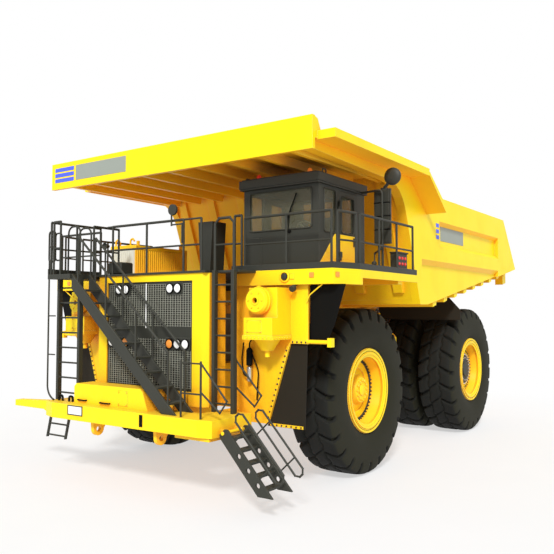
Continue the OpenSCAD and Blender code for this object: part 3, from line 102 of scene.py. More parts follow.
# %% Socket arithmetic
class Field:
    """A socket of a shader tree that adds and multiplies like a number, one Math node for each step."""

    def __init__(self, tree, socket=None):
        self.tree, self.socket = tree, socket

    def node(self, kind, settings=(), inputs=(), out=0):
        """Add a node of any type: settings first, then inputs by name or number. Gives back one of its outputs."""
        made = self.tree.nodes.new(kind)
        for key, value in dict(settings).items():
            setattr(made, key, value)
        for key, value in dict(inputs).items():
            if isinstance(value, Field):
                self.tree.links.new(value.socket, made.inputs[key])
            else:
                made.inputs[key].default_value = value
        return Field(self.tree, made.outputs[out])

    def math(self, operation, *terms):
        return self.node("ShaderNodeMath", {"operation": operation}, dict(enumerate(terms)))

    def __add__(self, other):
        return self.math("ADD", self, other)

    def __rsub__(self, other):
        return self.math("SUBTRACT", other, self)

    def __mul__(self, other):
        return self.math("MULTIPLY", self, other)

    def step(self, low, high):
        """0 below low, 1 above high and an S-shaped rise between them."""
        return self.node("ShaderNodeMapRange", {"interpolation_type": "SMOOTHSTEP"},
                         {"Value": self, "From Min": low, "From Max": high})

    def most(self, other):
        return self.math("MAXIMUM", self, other)

    def tint(self, low, high):
        """The colour low where this field is 0 and the colour high where it is 1."""
        return self.node("ShaderNodeMix", {"data_type": "RGBA"}, {0: self, 6: low, 7: high}, 2)


def grey(value):
    return (value, value, value, 1.0)


print("shader fields ready")

# %% [markdown]
# ## Floor, world and light
#
# The truck stands on a pale light table under a wide soft sky, with one key light from the front left. The table
# takes the truck's shadow close by and turns into plain glowing white further out, so there is no horizon line and
# the canopy's underside gets light from below. The world is white to the camera and to mirrors, and dimmer as a
# light, so that paint renders near its written colour.

# %% Floor, world and light
scene = bpy.context.scene
scene.world = bpy.data.worlds.new("studio")
scene.world.use_nodes = True
sky = Field(scene.world.node_tree)
rays = sky.node("ShaderNodeLightPath", out="Is Camera Ray")
seen = rays.most(sky.node("ShaderNodeLightPath", out="Is Glossy Ray"))
seen = seen.most(sky.node("ShaderNodeLightPath", out="Is Transmission Ray"))
back = scene.world.node_tree.nodes["Background"]
back.inputs["Color"].default_value = grey(1.0)
scene.world.node_tree.links.new((seen * 0.42 + 0.58).socket, back.inputs["Strength"])

floor_z = solid_box[0][2] + 0.001
floor = bpy.data.objects.new("floor", bpy.data.meshes.new("floor"))
floor.data.from_pydata([(-150, -150, floor_z), (150, -150, floor_z), (150, 150, floor_z), (-150, 150, floor_z)], [],
                       [(0, 1, 2, 3)])
scene.collection.objects.link(floor)
pale = bpy.data.materials.new("floor_pale")
pale.use_nodes = True
ground = Field(pale.node_tree)
place = ground.node("ShaderNodeTexCoord", out="Object")
far = ground.node("ShaderNodeVectorMath", {"operation": "LENGTH"}, {0: place}, "Value")
mottle = ground.node("ShaderNodeTexNoise", inputs={"Vector": place, "Scale": 0.7})
near_floor = ground.node("ShaderNodeBsdfDiffuse", inputs={"Color": mottle.tint(grey(0.86), grey(0.9))})
white = ground.node("ShaderNodeEmission", inputs={"Color": grey(1.0), "Strength": 1.0})
fade = far.step(6.0, 14.0).most(0.55)
blend = ground.node("ShaderNodeMixShader", inputs={0: fade, 1: near_floor, 2: white})
pale.node_tree.links.new(blend.socket, pale.node_tree.nodes["Material Output"].inputs["Surface"])
floor.data.materials.append(pale)

key = bpy.data.objects.new("key", bpy.data.lights.new("key", "SUN"))
key.data.energy = 2.85
key.data.angle = math.radians(9)
key.rotation_euler = (math.radians(53), 0.0, math.radians(29))
scene.collection.objects.link(key)
print("floor at", round(floor_z, 4))

# %% [markdown]
# ## Paint, rubber and glass
#
# Mine trucks are sprayed with thick enamel and then work in dust. Every finish is therefore a base colour with four
# things laid over it: broad fading, dust that settles on what faces up, painted shade on what faces down, and
# rubbed edges. The edges are found with the Bevel node, which rounds a corner only for the light, so that the
# CAD's sharp corners still catch a thin highlight. The yellow also asks how much open air each spot sees, and there
# it paints shade: deep orange in sheltered places and dark brown in the tightest corners.

# %% Finishes
finishes = {}


def finish(name, base, fade_shade_colour, dust, rough, metal=0.0, edge=None, peel=0.02, grain=90.0, round_by=0.012, recess_shade=None,
           cheek=None, **fixed):
    """A weathered coat: base fades in patches, painted shade falls below and in recesses, dust lies on tops, edges rub.

    Cheek is the colour of what faces along the piece's own X."""
    mat = bpy.data.materials.new(name)
    mat.use_nodes = True
    links, shader = mat.node_tree.links, mat.node_tree.nodes["Principled BSDF"]
    f = Field(mat.node_tree)
    at = f.node("ShaderNodeTexCoord", out="Object")
    patch = f.node("ShaderNodeTexNoise", inputs={"Vector": at, "Scale": 1.3, "Detail": 5.0})
    fine = f.node("ShaderNodeTexNoise", inputs={"Vector": at, "Scale": grain, "Detail": 3.0})
    run = f.node("ShaderNodeVectorMath", {"operation": "MULTIPLY"}, {0: at, 1: (7.0, 7.0, 0.5)})
    streak = f.node("ShaderNodeTexNoise", inputs={"Vector": run, "Scale": 1.0, "Detail": 4.0})
    flat = f.node("ShaderNodeNewGeometry", out="Normal")
    up = f.node("ShaderNodeSeparateXYZ", inputs={0: flat}, out="Z")
    soft = f.node("ShaderNodeBevel", {"samples": 4}, {"Radius": round_by})
    turn = f.node("ShaderNodeVectorMath", {"operation": "DOT_PRODUCT"}, {0: soft, 1: flat}, "Value")
    rub = (1.0 - turn).step(0.02, 0.16) * patch.step(0.38, 0.62)
    # Painted shade: faces that look down take the finish's second colour, which also gives the random fading in patches
    # and streaks.
    under = (up * -1.0).step(0.2, 0.95)
    fade_and_shade = (patch.step(0.45, 0.75) * 0.16 + streak.step(0.55, 0.8) * 0.14).most(under * 0.8)
    # Painted shade on the yellow: ambient occlusion turns sheltered paint to the finish's second colour.
    if recess_shade is not None:
        air = f.node("ShaderNodeAmbientOcclusion", {"samples": 6}, {"Distance": 2.4}, "AO")
        fade_and_shade = fade_and_shade.most(1.0 - air.step(0.3, 0.8))
    colour = fade_and_shade.tint((*base, 1.0), (*fade_shade_colour, 1.0))
    # Painted shade: the tightest corners darken towards the dark recess colour.
    if recess_shade is not None:
        colour = ((1.0 - air.step(0.02, 0.17)) * 0.85).tint(colour, (*recess_shade, 1.0))
    if cheek is not None:
        own = f.node("ShaderNodeTexCoord", out="Normal")
        facing = f.math("ABSOLUTE", f.node("ShaderNodeSeparateXYZ", inputs={0: own}, out="X"))
        colour = facing.step(0.6, 0.95).tint(colour, (*cheek, 1.0))
    settled = up.step(0.5, 1.0) * (fine * 0.3 + patch * 0.6)
    colour = settled.tint(colour, (*dust, 1.0))
    if edge is not None:
        colour = (rub * 0.7).tint(colour, (*edge, 1.0))
    links.new(colour.socket, shader.inputs["Base Color"])
    links.new((patch * 0.16 + settled * 0.3 + (rough - 0.08)).socket, shader.inputs["Roughness"])
    shader.inputs["Metallic"].default_value = metal
    bump = f.node("ShaderNodeBump", inputs={"Strength": 0.4, "Distance": peel * 0.1, "Height": fine, "Normal": soft})
    links.new(bump.socket, shader.inputs["Normal"])
    for socket, value in fixed.items():
        shader.inputs[socket.replace("_", " ")].default_value = value
    finishes[name] = mat
    return mat


# The yellow's dark brown recess colour is painted shade for its tightest corners.
finish("yellow_paint", (1.0, 0.76, 0.006), (1.0, 0.45, 0.018), (0.95, 0.66, 0.05), 0.44, edge=(1.0, 0.85, 0.2),
       recess_shade=(0.17, 0.08, 0.022), Coat_Weight=0.05, Coat_Roughness=0.25, Specular_IOR_Level=0.22)
finish("charcoal_paint", (0.032, 0.033, 0.025), (0.017, 0.017, 0.013), (0.08, 0.077, 0.058), 0.52,
       edge=(0.12, 0.12, 0.1), Specular_IOR_Level=0.32)
finish("engine_iron", (0.16, 0.16, 0.15), (0.07, 0.06, 0.05), (0.25, 0.2, 0.13), 0.55, metal=0.4)
finish("core_black", (0.004, 0.004, 0.0035), (0.002, 0.002, 0.002), (0.014, 0.012, 0.01), 0.72, Specular_IOR_Level=0.1)
finish("flap_rubber", (0.02, 0.016, 0.01), (0.012, 0.01, 0.007), (0.07, 0.055, 0.035), 0.8, grain=30.0,
       Specular_IOR_Level=0.2)
finish("tyre_rubber", (0.0105, 0.011, 0.009), (0.005, 0.005, 0.0045), (0.02, 0.019, 0.014), 0.76, grain=45.0, peel=0.06,
       round_by=0.02, cheek=(0.019, 0.0185, 0.01), Specular_IOR_Level=0.2)
finish("cab_trim", (0.2, 0.19, 0.14), (0.11, 0.1, 0.075), (0.24, 0.22, 0.17), 0.7)
finish("bright_steel", (0.62, 0.62, 0.6), (0.4, 0.4, 0.39), (0.5, 0.47, 0.4), 0.28, metal=0.9)
finish("screen_grey", (0.27, 0.275, 0.22), (0.19, 0.19, 0.15), (0.26, 0.25, 0.19), 0.55, edge=(0.45, 0.45, 0.4),
       round_by=0.003)
finish("plate_grey", (0.29, 0.32, 0.28), (0.2, 0.22, 0.19), (0.32, 0.31, 0.26), 0.45, round_by=0.003)
finish("plate_white", (0.9, 0.9, 0.87), (0.7, 0.69, 0.64), (0.78, 0.74, 0.66), 0.4, round_by=0.003)
finish("stripe_blue", (0.07, 0.12, 0.8), (0.04, 0.06, 0.5), (0.15, 0.18, 0.6), 0.42, round_by=0.003)
finish("panel_cream", (0.68, 0.68, 0.58), (0.4, 0.37, 0.27), (0.6, 0.56, 0.45), 0.5, round_by=0.004)
print(len(finishes), "painted finishes")

# %% [markdown]
# Lenses, window glass and seat cloth aren't paint. A lamp's lens is pressed with fine flutes that spread the light,
# so its bump is a wave across the lens. Window glass is thin and tinted: it is mostly see-through, with a film of
# dust that is thicker in patches. Seat cloth is a basket weave, two crossed waves.

# %% Glass, lenses and cloth
def clear(name, base, alpha, flute, glow=0.0):
    """A smooth see-through or lens finish with flutes of the given number to the metre and a patchy film of dust."""
    mat = bpy.data.materials.new(name)
    mat.use_nodes = True
    links, shader = mat.node_tree.links, mat.node_tree.nodes["Principled BSDF"]
    f = Field(mat.node_tree)
    at = f.node("ShaderNodeTexCoord", out="Object")
    film = f.node("ShaderNodeTexNoise", inputs={"Vector": at, "Scale": 3.1, "Detail": 4.0})
    links.new(film.tint((*base, 1.0), (*[0.8 * b + 0.06 for b in base], 1.0)).socket, shader.inputs["Base Color"])
    links.new((film * 0.2 + 0.12).socket, shader.inputs["Roughness"])
    links.new((film.step(0.4, 0.9) * 0.12 + alpha).socket, shader.inputs["Alpha"])
    if flute:
        across = f.node("ShaderNodeSeparateXYZ", inputs={0: at}, out="X")
        wave = f.math("SINE", across * (flute * 2.0 * math.pi))
        links.new(f.node("ShaderNodeBump", inputs={"Strength": 0.3, "Distance": 0.002, "Height": wave}).socket,
                  shader.inputs["Normal"])
    if glow:
        shader.inputs["Emission Color"].default_value = (*base, 1.0)
        shader.inputs["Emission Strength"].default_value = glow
    finishes[name] = mat


clear("window_glass", (0.17, 0.165, 0.09), 0.27, 0.0)
clear("lamp_glass", (0.94, 0.94, 0.92), 0.88, 70.0, glow=0.25)
clear("lens_amber", (0.95, 0.32, 0.02), 0.88, 70.0, glow=0.1)
clear("lens_red", (0.85, 0.03, 0.02), 0.88, 90.0, glow=0.1)
clear("beacon_lens", (0.95, 0.25, 0.02), 0.88, 60.0, glow=0.15)

cloth = finish("seat_fabric", (0.06, 0.06, 0.062), (0.035, 0.035, 0.037), (0.1, 0.095, 0.085), 0.85, grain=260.0,
               peel=0.03)
weave = Field(cloth.node_tree)
thread = weave.node("ShaderNodeTexCoord", out="Object")
over = weave.node("ShaderNodeTexWave", {"bands_direction": "X"}, {"Vector": thread, "Scale": 60.0})
along = weave.node("ShaderNodeTexWave", {"bands_direction": "Z"}, {"Vector": thread, "Scale": 60.0})
knit = weave.node("ShaderNodeBump", inputs={"Strength": 0.4, "Distance": 0.003, "Height": over * along})
cloth.node_tree.links.new(knit.socket, cloth.node_tree.nodes["Principled BSDF"].inputs["Normal"])
print(sorted(finishes))

# %% [markdown]
# Each solid already carries the name of its material slot, so the finishes are handed out by that name.

# %% Paint the solids
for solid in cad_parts.values():
    for holder in solid.material_slots:
        holder.material = finishes[holder.material.name.split(".")[0]]
print(len(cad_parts), "solids painted")

# %% [markdown]
# ## Shapes from arrays
#
# Every added piece is a grid of points: rows along the piece and columns around it. One function numbers the grid's
# faces, and the others only say where the points lie. A tube carries a circle along a path, a turned piece carries
# a profile around an axis, and a slab carries a rectangle with cut corners through its thickness.

# %% Grid shapes
def unit(v):
    """Vectors scaled to length 1."""
    v = np.asarray(v, float)
    return v / np.linalg.norm(v, axis=-1, keepdims=True)


def grid(points, wrap_rows=False):
    """Rows of closed rings become quads between neighbours, with a fan of triangles over each open end row."""
    rows, cols = points.shape[:2]
    r = np.arange(rows if wrap_rows else rows - 1)[:, None]
    c = np.arange(cols)[None, :]
    r2, c2 = (r + 1) % rows, (c + 1) % cols
    quads = np.stack([r * cols + c, r * cols + c2, r2 * cols + c2, r2 * cols + c], -1).reshape(-1, 4)
    flat, tris = points.reshape(-1, 3), np.zeros((0, 3), int)
    if not wrap_rows:
        k, n = np.arange(cols), len(flat)
        first = np.stack([np.full(cols, n), (k + 1) % cols, k], -1)
        last = np.stack([np.full(cols, n + 1), (rows - 1) * cols + k, (rows - 1) * cols + (k + 1) % cols], -1)
        flat, tris = np.vstack([flat, points[0].mean(0), points[-1].mean(0)]), np.vstack([first, last])
    return flat, quads, tris


def merge(shapes):
    """Several shapes as one: points stacked, and each shape's face numbers raised by the points before it."""
    start = np.cumsum([0] + [len(s[0]) for s in shapes[:-1]])
    return (np.vstack([s[0] for s in shapes]), np.vstack([s[1] + n for s, n in zip(shapes, start)]),
            np.vstack([s[2] + n for s, n in zip(shapes, start)]))


def bent(corners, radius, steps=6):
    """A path through the corners, each inner corner rounded by a parabola that begins and ends radius away from it."""
    p = np.asarray(corners, float)
    a, b = p[1:-1] + radius * unit(p[:-2] - p[1:-1]), p[1:-1] + radius * unit(p[2:] - p[1:-1])
    t = np.linspace(0, 1, steps)[None, :, None]
    arcs = (1 - t) ** 2 * a[:, None] + 2 * t * (1 - t) * p[1:-1, None] + t ** 2 * b[:, None]
    return np.vstack([p[:1], arcs.reshape(-1, 3), p[-1:]])


def tube(corners, r, bend=0.06, sides=10, closed=False):
    """A round bar: a circle of radius r carried along the rounded path, held square to the path's own plane."""
    if closed:
        p = np.asarray(corners, float)
        start = (p[0] + p[-1]) / 2
        path = bent(np.vstack([start, p, start]), bend)[:-1]
        ahead = unit(np.roll(path, -1, 0) - np.roll(path, 1, 0))
    else:
        path = bent(corners, bend) if len(corners) > 2 else np.asarray(corners, float)
        ahead = unit(np.gradient(path, axis=0))
    normal = np.linalg.svd(path - path.mean(0))[2][2]
    side = unit(np.cross(ahead, normal))
    top = np.cross(side, ahead)
    a = np.linspace(0, 2 * math.pi, sides, endpoint=False)[None, :, None]
    ring = path[:, None] + r * (np.cos(a) * side[:, None] + np.sin(a) * top[:, None])
    return grid(ring, wrap_rows=closed)


def handle(a, b, rise, r, bend):
    """A bent bar: from foot a out along the rise, across, and back to foot b."""
    a, b, rise = np.array(a), np.array(b), np.array(rise)
    return tube([a, a + rise, b + rise, b], r, bend)


def turned(profile, origin, axis, steps=40, loop=False):
    """A turned piece: profile points (radius, distance along the axis) carried round the axis through origin."""
    p = np.asarray(profile, float)
    w = unit(axis)
    u = unit(np.cross(w, (0.31, 0.52, 0.79)))
    v = np.cross(w, u)
    a = np.linspace(0, 2 * math.pi, steps, endpoint=False)[None, :, None]
    ring = np.asarray(origin, float) + p[:, 1, None, None] * w + p[:, 0, None, None] * (np.cos(a) * u + np.sin(a) * v)
    return grid(ring, wrap_rows=loop)


def repeated(profile, seats, axis, steps, loop=False):
    """The same turned piece at each of the seats, as one shape."""
    return merge([turned(profile, seat, axis, steps, loop) for seat in seats])


to_front, to_rear, to_sky = (0, -1, 0), (0, 1, 0), (0, 0, 1)


def bolt(at, axis, r, h, crown_r, crown_h):
    """A hexagon head: a profile turned in six steps, straight up to h and then drawn in to the crown."""
    return turned([(r, 0), (r, h), (crown_r, crown_h)], at, axis, 6)


def slab(low, high, cut=0.006):
    """A block from low to high with its edges cut at 45 degrees: four outlines of eight points, the end ones set in."""
    low, high = np.minimum(low, high).astype(float), np.maximum(low, high).astype(float)
    cut = min(cut, 0.45 * (high - low).min())
    mid, half = (low + high) / 2, (high - low) / 2
    signs = np.array([(1, 1), (-1, 1), (-1, -1), (1, -1)]).repeat(2, 0)
    which = np.array([(1, 0), (0, 1), (0, 1), (1, 0), (1, 0), (0, 1), (0, 1), (1, 0)])
    inset = np.array([cut, 0.0, 0.0, cut])[:, None, None]
    level = np.array([-half[2], -half[2] + cut, half[2] - cut, half[2]])[:, None]
    plan = signs * (half[:2] - inset - cut * (1 - which))
    rings = np.concatenate([mid[:2] + plan, np.broadcast_to((mid[2] + level)[..., None], (4, 8, 1))], -1)
    return grid(rings)


def prism(outline, depth):
    """A flat convex outline of points in space, carried along the depth vector."""
    p = np.asarray(outline, float)
    return grid(np.stack([p, p + np.asarray(depth, float)]))


def put(name, shape, coat, body="chassis", sharp=35.0):
    """Make the shape an object with the named finish, faces outward, smooth but for edges sharper than the angle.

    Its slot holds the finish under the finish's own name."""
    points, quads, tris = shape
    mesh = bpy.data.meshes.new(name)
    mesh.vertices.add(len(points))
    mesh.vertices.foreach_set("co", points.astype(np.float32).ravel())
    corners = np.concatenate([quads.ravel(), tris.ravel()]).astype(np.int32)
    mesh.loops.add(len(corners))
    mesh.loops.foreach_set("vertex_index", corners)
    starts = np.concatenate([4 * np.arange(len(quads)), 4 * len(quads) + 3 * np.arange(len(tris))]).astype(np.int32)
    mesh.polygons.add(len(starts))
    mesh.polygons.foreach_set("loop_start", starts)
    mesh.update(calc_edges=True)
    mesh.validate()
    work = bmesh.new()
    work.from_mesh(mesh)
    bmesh.ops.recalc_face_normals(work, faces=work.faces)
    work.to_mesh(mesh)
    work.free()
    mesh.polygons.foreach_set("use_smooth", np.ones(len(mesh.polygons), bool))
    mesh.set_sharp_from_angle(angle=math.radians(sharp))
    mesh.materials.append(finishes[coat])
    made = bpy.data.objects.new(name, mesh)
    scene.collection.objects.link(made)
    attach(made, body)
    print(name, len(mesh.polygons), "faces on", body)
    return made


# %% [markdown]
# ## Tyres
#
# A rock tyre is moulded: the carcass is a bulging ring and the tread is cut by deep grooves that leave heavy lugs.
# The grooves run in from each shoulder, sweep round and meet a wavy ring, and the two rows are half a pitch apart.
# Between the rings the middle of the tread has shallower cuts. Here the whole tyre is one grid, angle around by
# distance along the section. The groove is a depth that depends on both, taken off along the section's own normal,
# so it also bites into the shoulder.

# %% Tyres
front_axle, rear_axle, axle_z = -2.575, 3.315, 1.6
outer_x, inner_x, bead_r = 2.495, 1.395, 0.78
half_section = np.array([(0.395, 0.832), (0.425, 0.868), (0.455, 0.95), (0.471, 1.05), (0.475, 1.16), (0.471, 1.28),
                         (0.462, 1.40), (0.446, 1.50), (0.41, 1.578), (0.35, 1.605), (0.2, 1.612), (0.0, 1.614)])
section = np.vstack([half_section, half_section[-2::-1] * (-1, 1)])
for _ in range(2):
    cut_corners = np.stack([0.75 * section[:-1] + 0.25 * section[1:], 0.25 * section[:-1] + 0.75 * section[1:]], 1)
    section = np.vstack([section[:1], cut_corners.reshape(-1, 2), section[-1:]])
length = np.concatenate([[0], np.cumsum(np.linalg.norm(np.diff(section, axis=0), axis=1))])
even = np.linspace(0, length[-1], 80)
section = np.stack([np.interp(even, length, section[:, 0]), np.interp(even, length, section[:, 1])], 1)
slope = unit(np.gradient(section, axis=0))
outward = np.stack([-slope[:, 1], slope[:, 0]], 1)
outward *= np.sign((outward * (section - (0.0, 1.2))).sum(1, keepdims=True))


def rise(x, low, high):
    """0 below low, 1 above high, and 3t² - 2t³ between."""
    t = np.clip((x - low) / (high - low), 0, 1)
    return t * t * (3 - 2 * t)


def tyre(x, y, lugs=24, steps=20, deep=0.078):
    """One tyre: depth of groove = deep where the distance to the nearest groove's curve is under half its width."""
    angle = np.linspace(0, 2 * math.pi, lugs * steps, endpoint=False)[:, None]
    pitch = 2 * math.pi / lugs
    a, r = section[:, 0][None], section[:, 1][None]
    across = np.abs(a) / 0.475
    phase = np.where(a > 0, 0.0, pitch / 2)
    curve = -0.16 * (1 - across) ** 1.3 + phase
    off = np.abs((angle - curve + pitch / 2) % pitch - pitch / 2) * 1.6
    wide = 0.022 + 0.022 * across
    groove = deep * (1 - rise(off, wide - 0.012, wide + 0.014)) * rise(r, 1.36, 1.45) * rise(np.abs(a), 0.1, 0.15)
    wave = 0.14 + 0.016 * np.sin((angle - phase) * lugs)
    ring = 0.045 * (1 - rise(np.abs(np.abs(a) - wave), 0.008, 0.026)) * (r > 1.5)
    cross = np.abs((angle + 0.5 * a - pitch * 0.25) % pitch - pitch / 2) * 1.6
    middle = 0.04 * (1 - rise(cross, 0.01, 0.03)) * (1 - rise(np.abs(a), 0.11, 0.15))
    depth = np.maximum(np.maximum(groove, ring), middle)
    offset, radius = a - depth * outward[:, 0], r - depth * outward[:, 1]
    points = np.stack([x + offset, y + radius * np.cos(angle), axle_z + radius * np.sin(angle)], -1)
    inner = points[:, [0, -1]]
    inner[..., 1] = y + bead_r * np.cos(angle)
    inner[..., 2] = axle_z + bead_r * np.sin(angle)
    return grid(np.concatenate([inner[:, :1], points, inner[:, 1:]], 1), wrap_rows=True)


both_sides = (("left", 1), ("right", -1))
for side, sign in both_sides:
    alone = tyre(sign * outer_x, front_axle)
    single = put(f"tread_front_{side}", alone, "tyre_rubber", f"wheel_front_{side}", sharp=60)
    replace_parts(single, f"front_{side}_tyre")
    pair = merge([tyre(sign * inner_x, rear_axle), tyre(sign * outer_x, rear_axle)])
    double = put(f"tread_rear_{side}", pair, "tyre_rubber", f"wheels_rear_{side}", sharp=60)
    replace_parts(double, f"rear_{side}_tyres")

# %% [markdown]
# ## Wheel fittings
#
# The front disc is clamped by a close ring of studs near its rim, and the hub cap has a smaller ring. The rear wheel
# motor is closed by a dark cover with a bright ring and bolts. The rim ends in two steps, with a dark seam where the
# lock ring sits. A nut is a hexagon turned with six steps, and a ring of nuts is the same nut at even angles.

# %% Wheel fittings
def on_axle(profile, sign, x, y, steps, loop=False):
    """A profile turned round the line of the axle at y, beginning x out from the middle of the truck."""
    return turned(profile, (sign * x, y, axle_z), (sign, 0, 0), steps, loop)


def nuts(sign, x, y, ring, count, size):
    """A ring of hexagon nuts with round stud ends around an axle, standing out along X."""
    a = np.linspace(0, 2 * math.pi, count, endpoint=False)
    seats = np.stack([np.full(count, sign * x), y + ring * np.cos(a), axle_z + ring * np.sin(a)], 1)
    hexes = [bolt(p, (sign, 0, 0), size, size, size * 0.8, size * 1.2) for p in seats]
    ends = [turned([(size * 0.5, size), (size * 0.5, size * 1.9)], p, (sign, 0, 0), 8) for p in seats]
    return merge(hexes + ends)


disc_x, hub_x, cover_x, rim_x = 2.625, 2.755, 2.684, 2.912
for side, sign in both_sides:
    band = on_axle([(0.565, 0), (0.565, 0.012), (0.625, 0.012), (0.625, 0)], sign, disc_x, front_axle, 72, loop=True)
    studs = nuts(sign, disc_x + 0.011, front_axle, 0.595, 48, 0.02)
    put(f"front_studs_{side}", merge([band, studs]), "charcoal_paint", f"wheel_front_{side}")
    hub = [nuts(sign, hub_x, front_axle, 0.19, 12, 0.022),
           on_axle([(0.11, 0), (0.11, 0.02), (0.09, 0.03)], sign, hub_x - 0.001, front_axle, 40)]
    put(f"front_hub_bolts_{side}", merge(hub), "yellow_paint", f"wheel_front_{side}")
    cover = on_axle([(0.425, 0), (0.425, 0.03), (0.36, 0.05), (0.2, 0.055), (0.19, 0.09), (0.12, 0.1)],
                    sign, cover_x, rear_axle, 60)
    put(f"motor_cover_{side}", cover, "charcoal_paint")
    flange = [(0.375, 0), (0.375, 0.016), (0.41, 0.016), (0.41, 0)]
    trim = [on_axle(flange, sign, cover_x + 0.032, rear_axle, 60, loop=True),
            nuts(sign, cover_x + 0.051, rear_axle, 0.3, 20, 0.018)]
    put(f"motor_ring_{side}", merge(trim), "bright_steel")
    rear_nuts = nuts(sign, cover_x + 0.011, rear_axle, 0.5, 36, 0.018)
    put(f"rear_studs_{side}", rear_nuts, "charcoal_paint", f"wheels_rear_{side}")
    for wheel, y in ((f"wheel_front_{side}", front_axle), (f"wheels_rear_{side}", rear_axle)):
        steps = [on_axle(profile, sign, rim_x, y, 90, loop=True)
                 for profile in ([(0.786, 0), (0.79, 0.016), (0.812, 0.018), (0.82, 0.002)],
                                 [(0.69, -0.05), (0.7, 0.012), (0.735, 0.02), (0.745, -0.03)])]
        put(f"lock_rings_{wheel}", merge(steps), "yellow_paint", wheel)
        groove = [(0.762, -0.006), (0.762, 0.006), (0.772, 0.006), (0.772, -0.006)]
        seam = on_axle(groove, sign, rim_x + 0.004, y, 90, loop=True)
        put(f"lock_seam_{wheel}", seam, "core_black", wheel)

# %% [markdown]
# ## Grille and lamps
#
# The radiator is guarded by a pressed screen: upright strips with cross wires, so the openings are small dark
# rectangles in a light net. Strips and wires are plain slabs at an even pitch. The lamps are drawn glass bowls in
# dark bezels, and the inner lamp of each lower group is amber.

# %% Grille and lamps
screen_y = -5.677
screens = []
for z0, z1 in ((1.79, 2.655), (2.875, 3.645)):
    strips = [slab((x - 0.006, screen_y - 0.008, z0), (x + 0.006, screen_y, z1), 0.002)
              for x in np.linspace(-1.05, 1.05, 35)]
    wires = [slab((-1.06, screen_y - 0.009, z - 0.0045), (1.06, screen_y - 0.003, z + 0.0045), 0.002)
             for z in np.arange(z0 + 0.015, z1, 0.0395)]
    screens += strips + wires
put("grille_screen", merge(screens), "screen_grey")
put("grille_strip", slab((-0.065, screen_y - 0.02, 2.84), (-0.04, screen_y - 0.008, 3.66)), "plate_white")

lens_y, upper_z, lower_z = -5.687, 3.56, 2.57
inner, middle, outer = 0.57, 0.76, 0.95
white_rows = ((inner, upper_z), (middle, upper_z), (middle, lower_z), (outer, lower_z))
white_seats = [(s * x, lens_y, z) for s in (-1, 1) for x, z in white_rows]
amber_seats = [(s * inner, lens_y, lower_z) for s in (-1, 1)]
bowl = [(0.08, 0), (0.08, 0.03), (0.072, 0.042), (0.052, 0.053), (0.026, 0.058)]
bezel = [(0.081, 0.018), (0.081, 0.05), (0.09, 0.048), (0.093, 0.018)]
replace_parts(put("lamp_lenses", repeated(bowl, white_seats, to_front, 32), "lamp_glass"), "headlamps")
put("lamp_lenses_amber", repeated(bowl, amber_seats, to_front, 32), "lens_amber")
put("lamp_bezels", repeated(bezel, white_seats + amber_seats, to_front, 32, loop=True), "core_black")

# %% [markdown]
# ## Plates and stripes
#
# A blank plate sits at the end of the canopy and another in the upper recess of the body's side, with plain blue
# stripes beside each. The bumper has a small white plate in a dark rim. All are thin sheets, so each is a slab a few
# millimetres thick on the face behind it.

# %% Plates and stripes
def sheet(y, proud, x0, z0, x1, z1, sunk=0.003):
    """A thin plate on a face that looks forward at y: so far proud of the face, and a little sunk into it."""
    return slab((x0, y - proud, z0), (x1, y + sunk, z1), 0.003)


lip_y, bumper_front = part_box("canopy")[0].y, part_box("bumper")[0].y
recess_x, stripe_x = 3.138, 3.249
lip_plate = sheet(lip_y, 0.005, -2.56, 5.93, -1.02, 6.25, 0.004)
lip_stripes = [sheet(lip_y, 0.005, -3.25, z, -2.62, z + 0.085, 0.004) for z in (5.93, 6.045, 6.16)]
side_plate = slab((recess_x, 0.66, 4.8), (recess_x + 0.008, 2.2, 5.14), 0.003)
side_stripes = [slab((stripe_x, 0.13, z), (stripe_x + 0.005, 0.31, z + 0.09), 0.003) for z in (4.8, 4.935, 5.07)]
for place, plate, stripes in (("lip", lip_plate, lip_stripes), ("side", side_plate, side_stripes)):
    put(f"{place}_plate", plate, "plate_grey", "dump_body")
    put(f"{place}_stripes", merge(stripes), "stripe_blue", "dump_body")
put("bumper_plate", sheet(bumper_front, 0.006, -1.31, 1.255, -0.93, 1.405), "plate_white")
rim = [(-1.33, 1.24, -0.91, 1.258), (-1.33, 1.402, -0.91, 1.42), (-1.33, 1.24, -1.308, 1.42),
       (-0.932, 1.24, -0.91, 1.42)]
put("bumper_plate_rim", merge([sheet(bumper_front, 0.01, *bar) for bar in rim]), "charcoal_paint")

# %% [markdown]
# ## Deck edge
#
# A toe board stops tools from rolling off the deck: a strip of folded plate stood on edge along the rails. It
# follows the deck's outline, front edge, cut corner and side, so it is one upright plate over each of the three
# lines. The fascia below it carries amber marker lamps, a round filler neck and a small work lamp under its edge.

# %% Deck edge
deck_z, deck_y = 3.86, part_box("side_decks")[0].y
front_end, deck_half, corner_back, rail_end_y = 3.55, 3.7, 0.65, -2.0
toe_in, toe_t, toe_h, marker_half, marker_t = 0.004, 0.016, 0.105, 0.042, 0.016


def upright(a, b, low, high, depth):
    """A plate that stands over the line from a to b in plan and is as thick as the depth vector."""
    return prism([(*a, low), (*b, low), (*b, high), (*a, high)], (*depth, 0.0))


boards, markers = [], []
for sign, inner in ((1, 1.43), (-1, 2.12)):
    edge_line = np.array([(inner, deck_y), (front_end, deck_y), (deck_half, deck_y + corner_back),
                          (deck_half, rail_end_y)]) * (sign, 1)
    for a, b in zip(edge_line[:-1], edge_line[1:]):
        inward = np.array([(a - b)[1], (b - a)[0]]) * sign / np.linalg.norm(b - a)
        boards.append(upright(a + toe_in * inward, b + toe_in * inward, deck_z, deck_z + toe_h, toe_t * inward))
    for spot, run in (((3.14, deck_y), (1.0, 0.0)), ((3.572, deck_y + 0.094), (0.225, 0.974))):
        spot, run = np.array(spot) * (sign, 1), np.array(run) * (sign, 1)
        outward_way = np.array([run[1], -run[0]]) * sign
        reach = marker_half * run
        markers.append(upright(spot - reach, spot + reach, 3.715, 3.795, marker_t * outward_way))
put("toe_boards", merge(boards), "charcoal_paint")
put("deck_markers", merge(markers), "lens_amber")
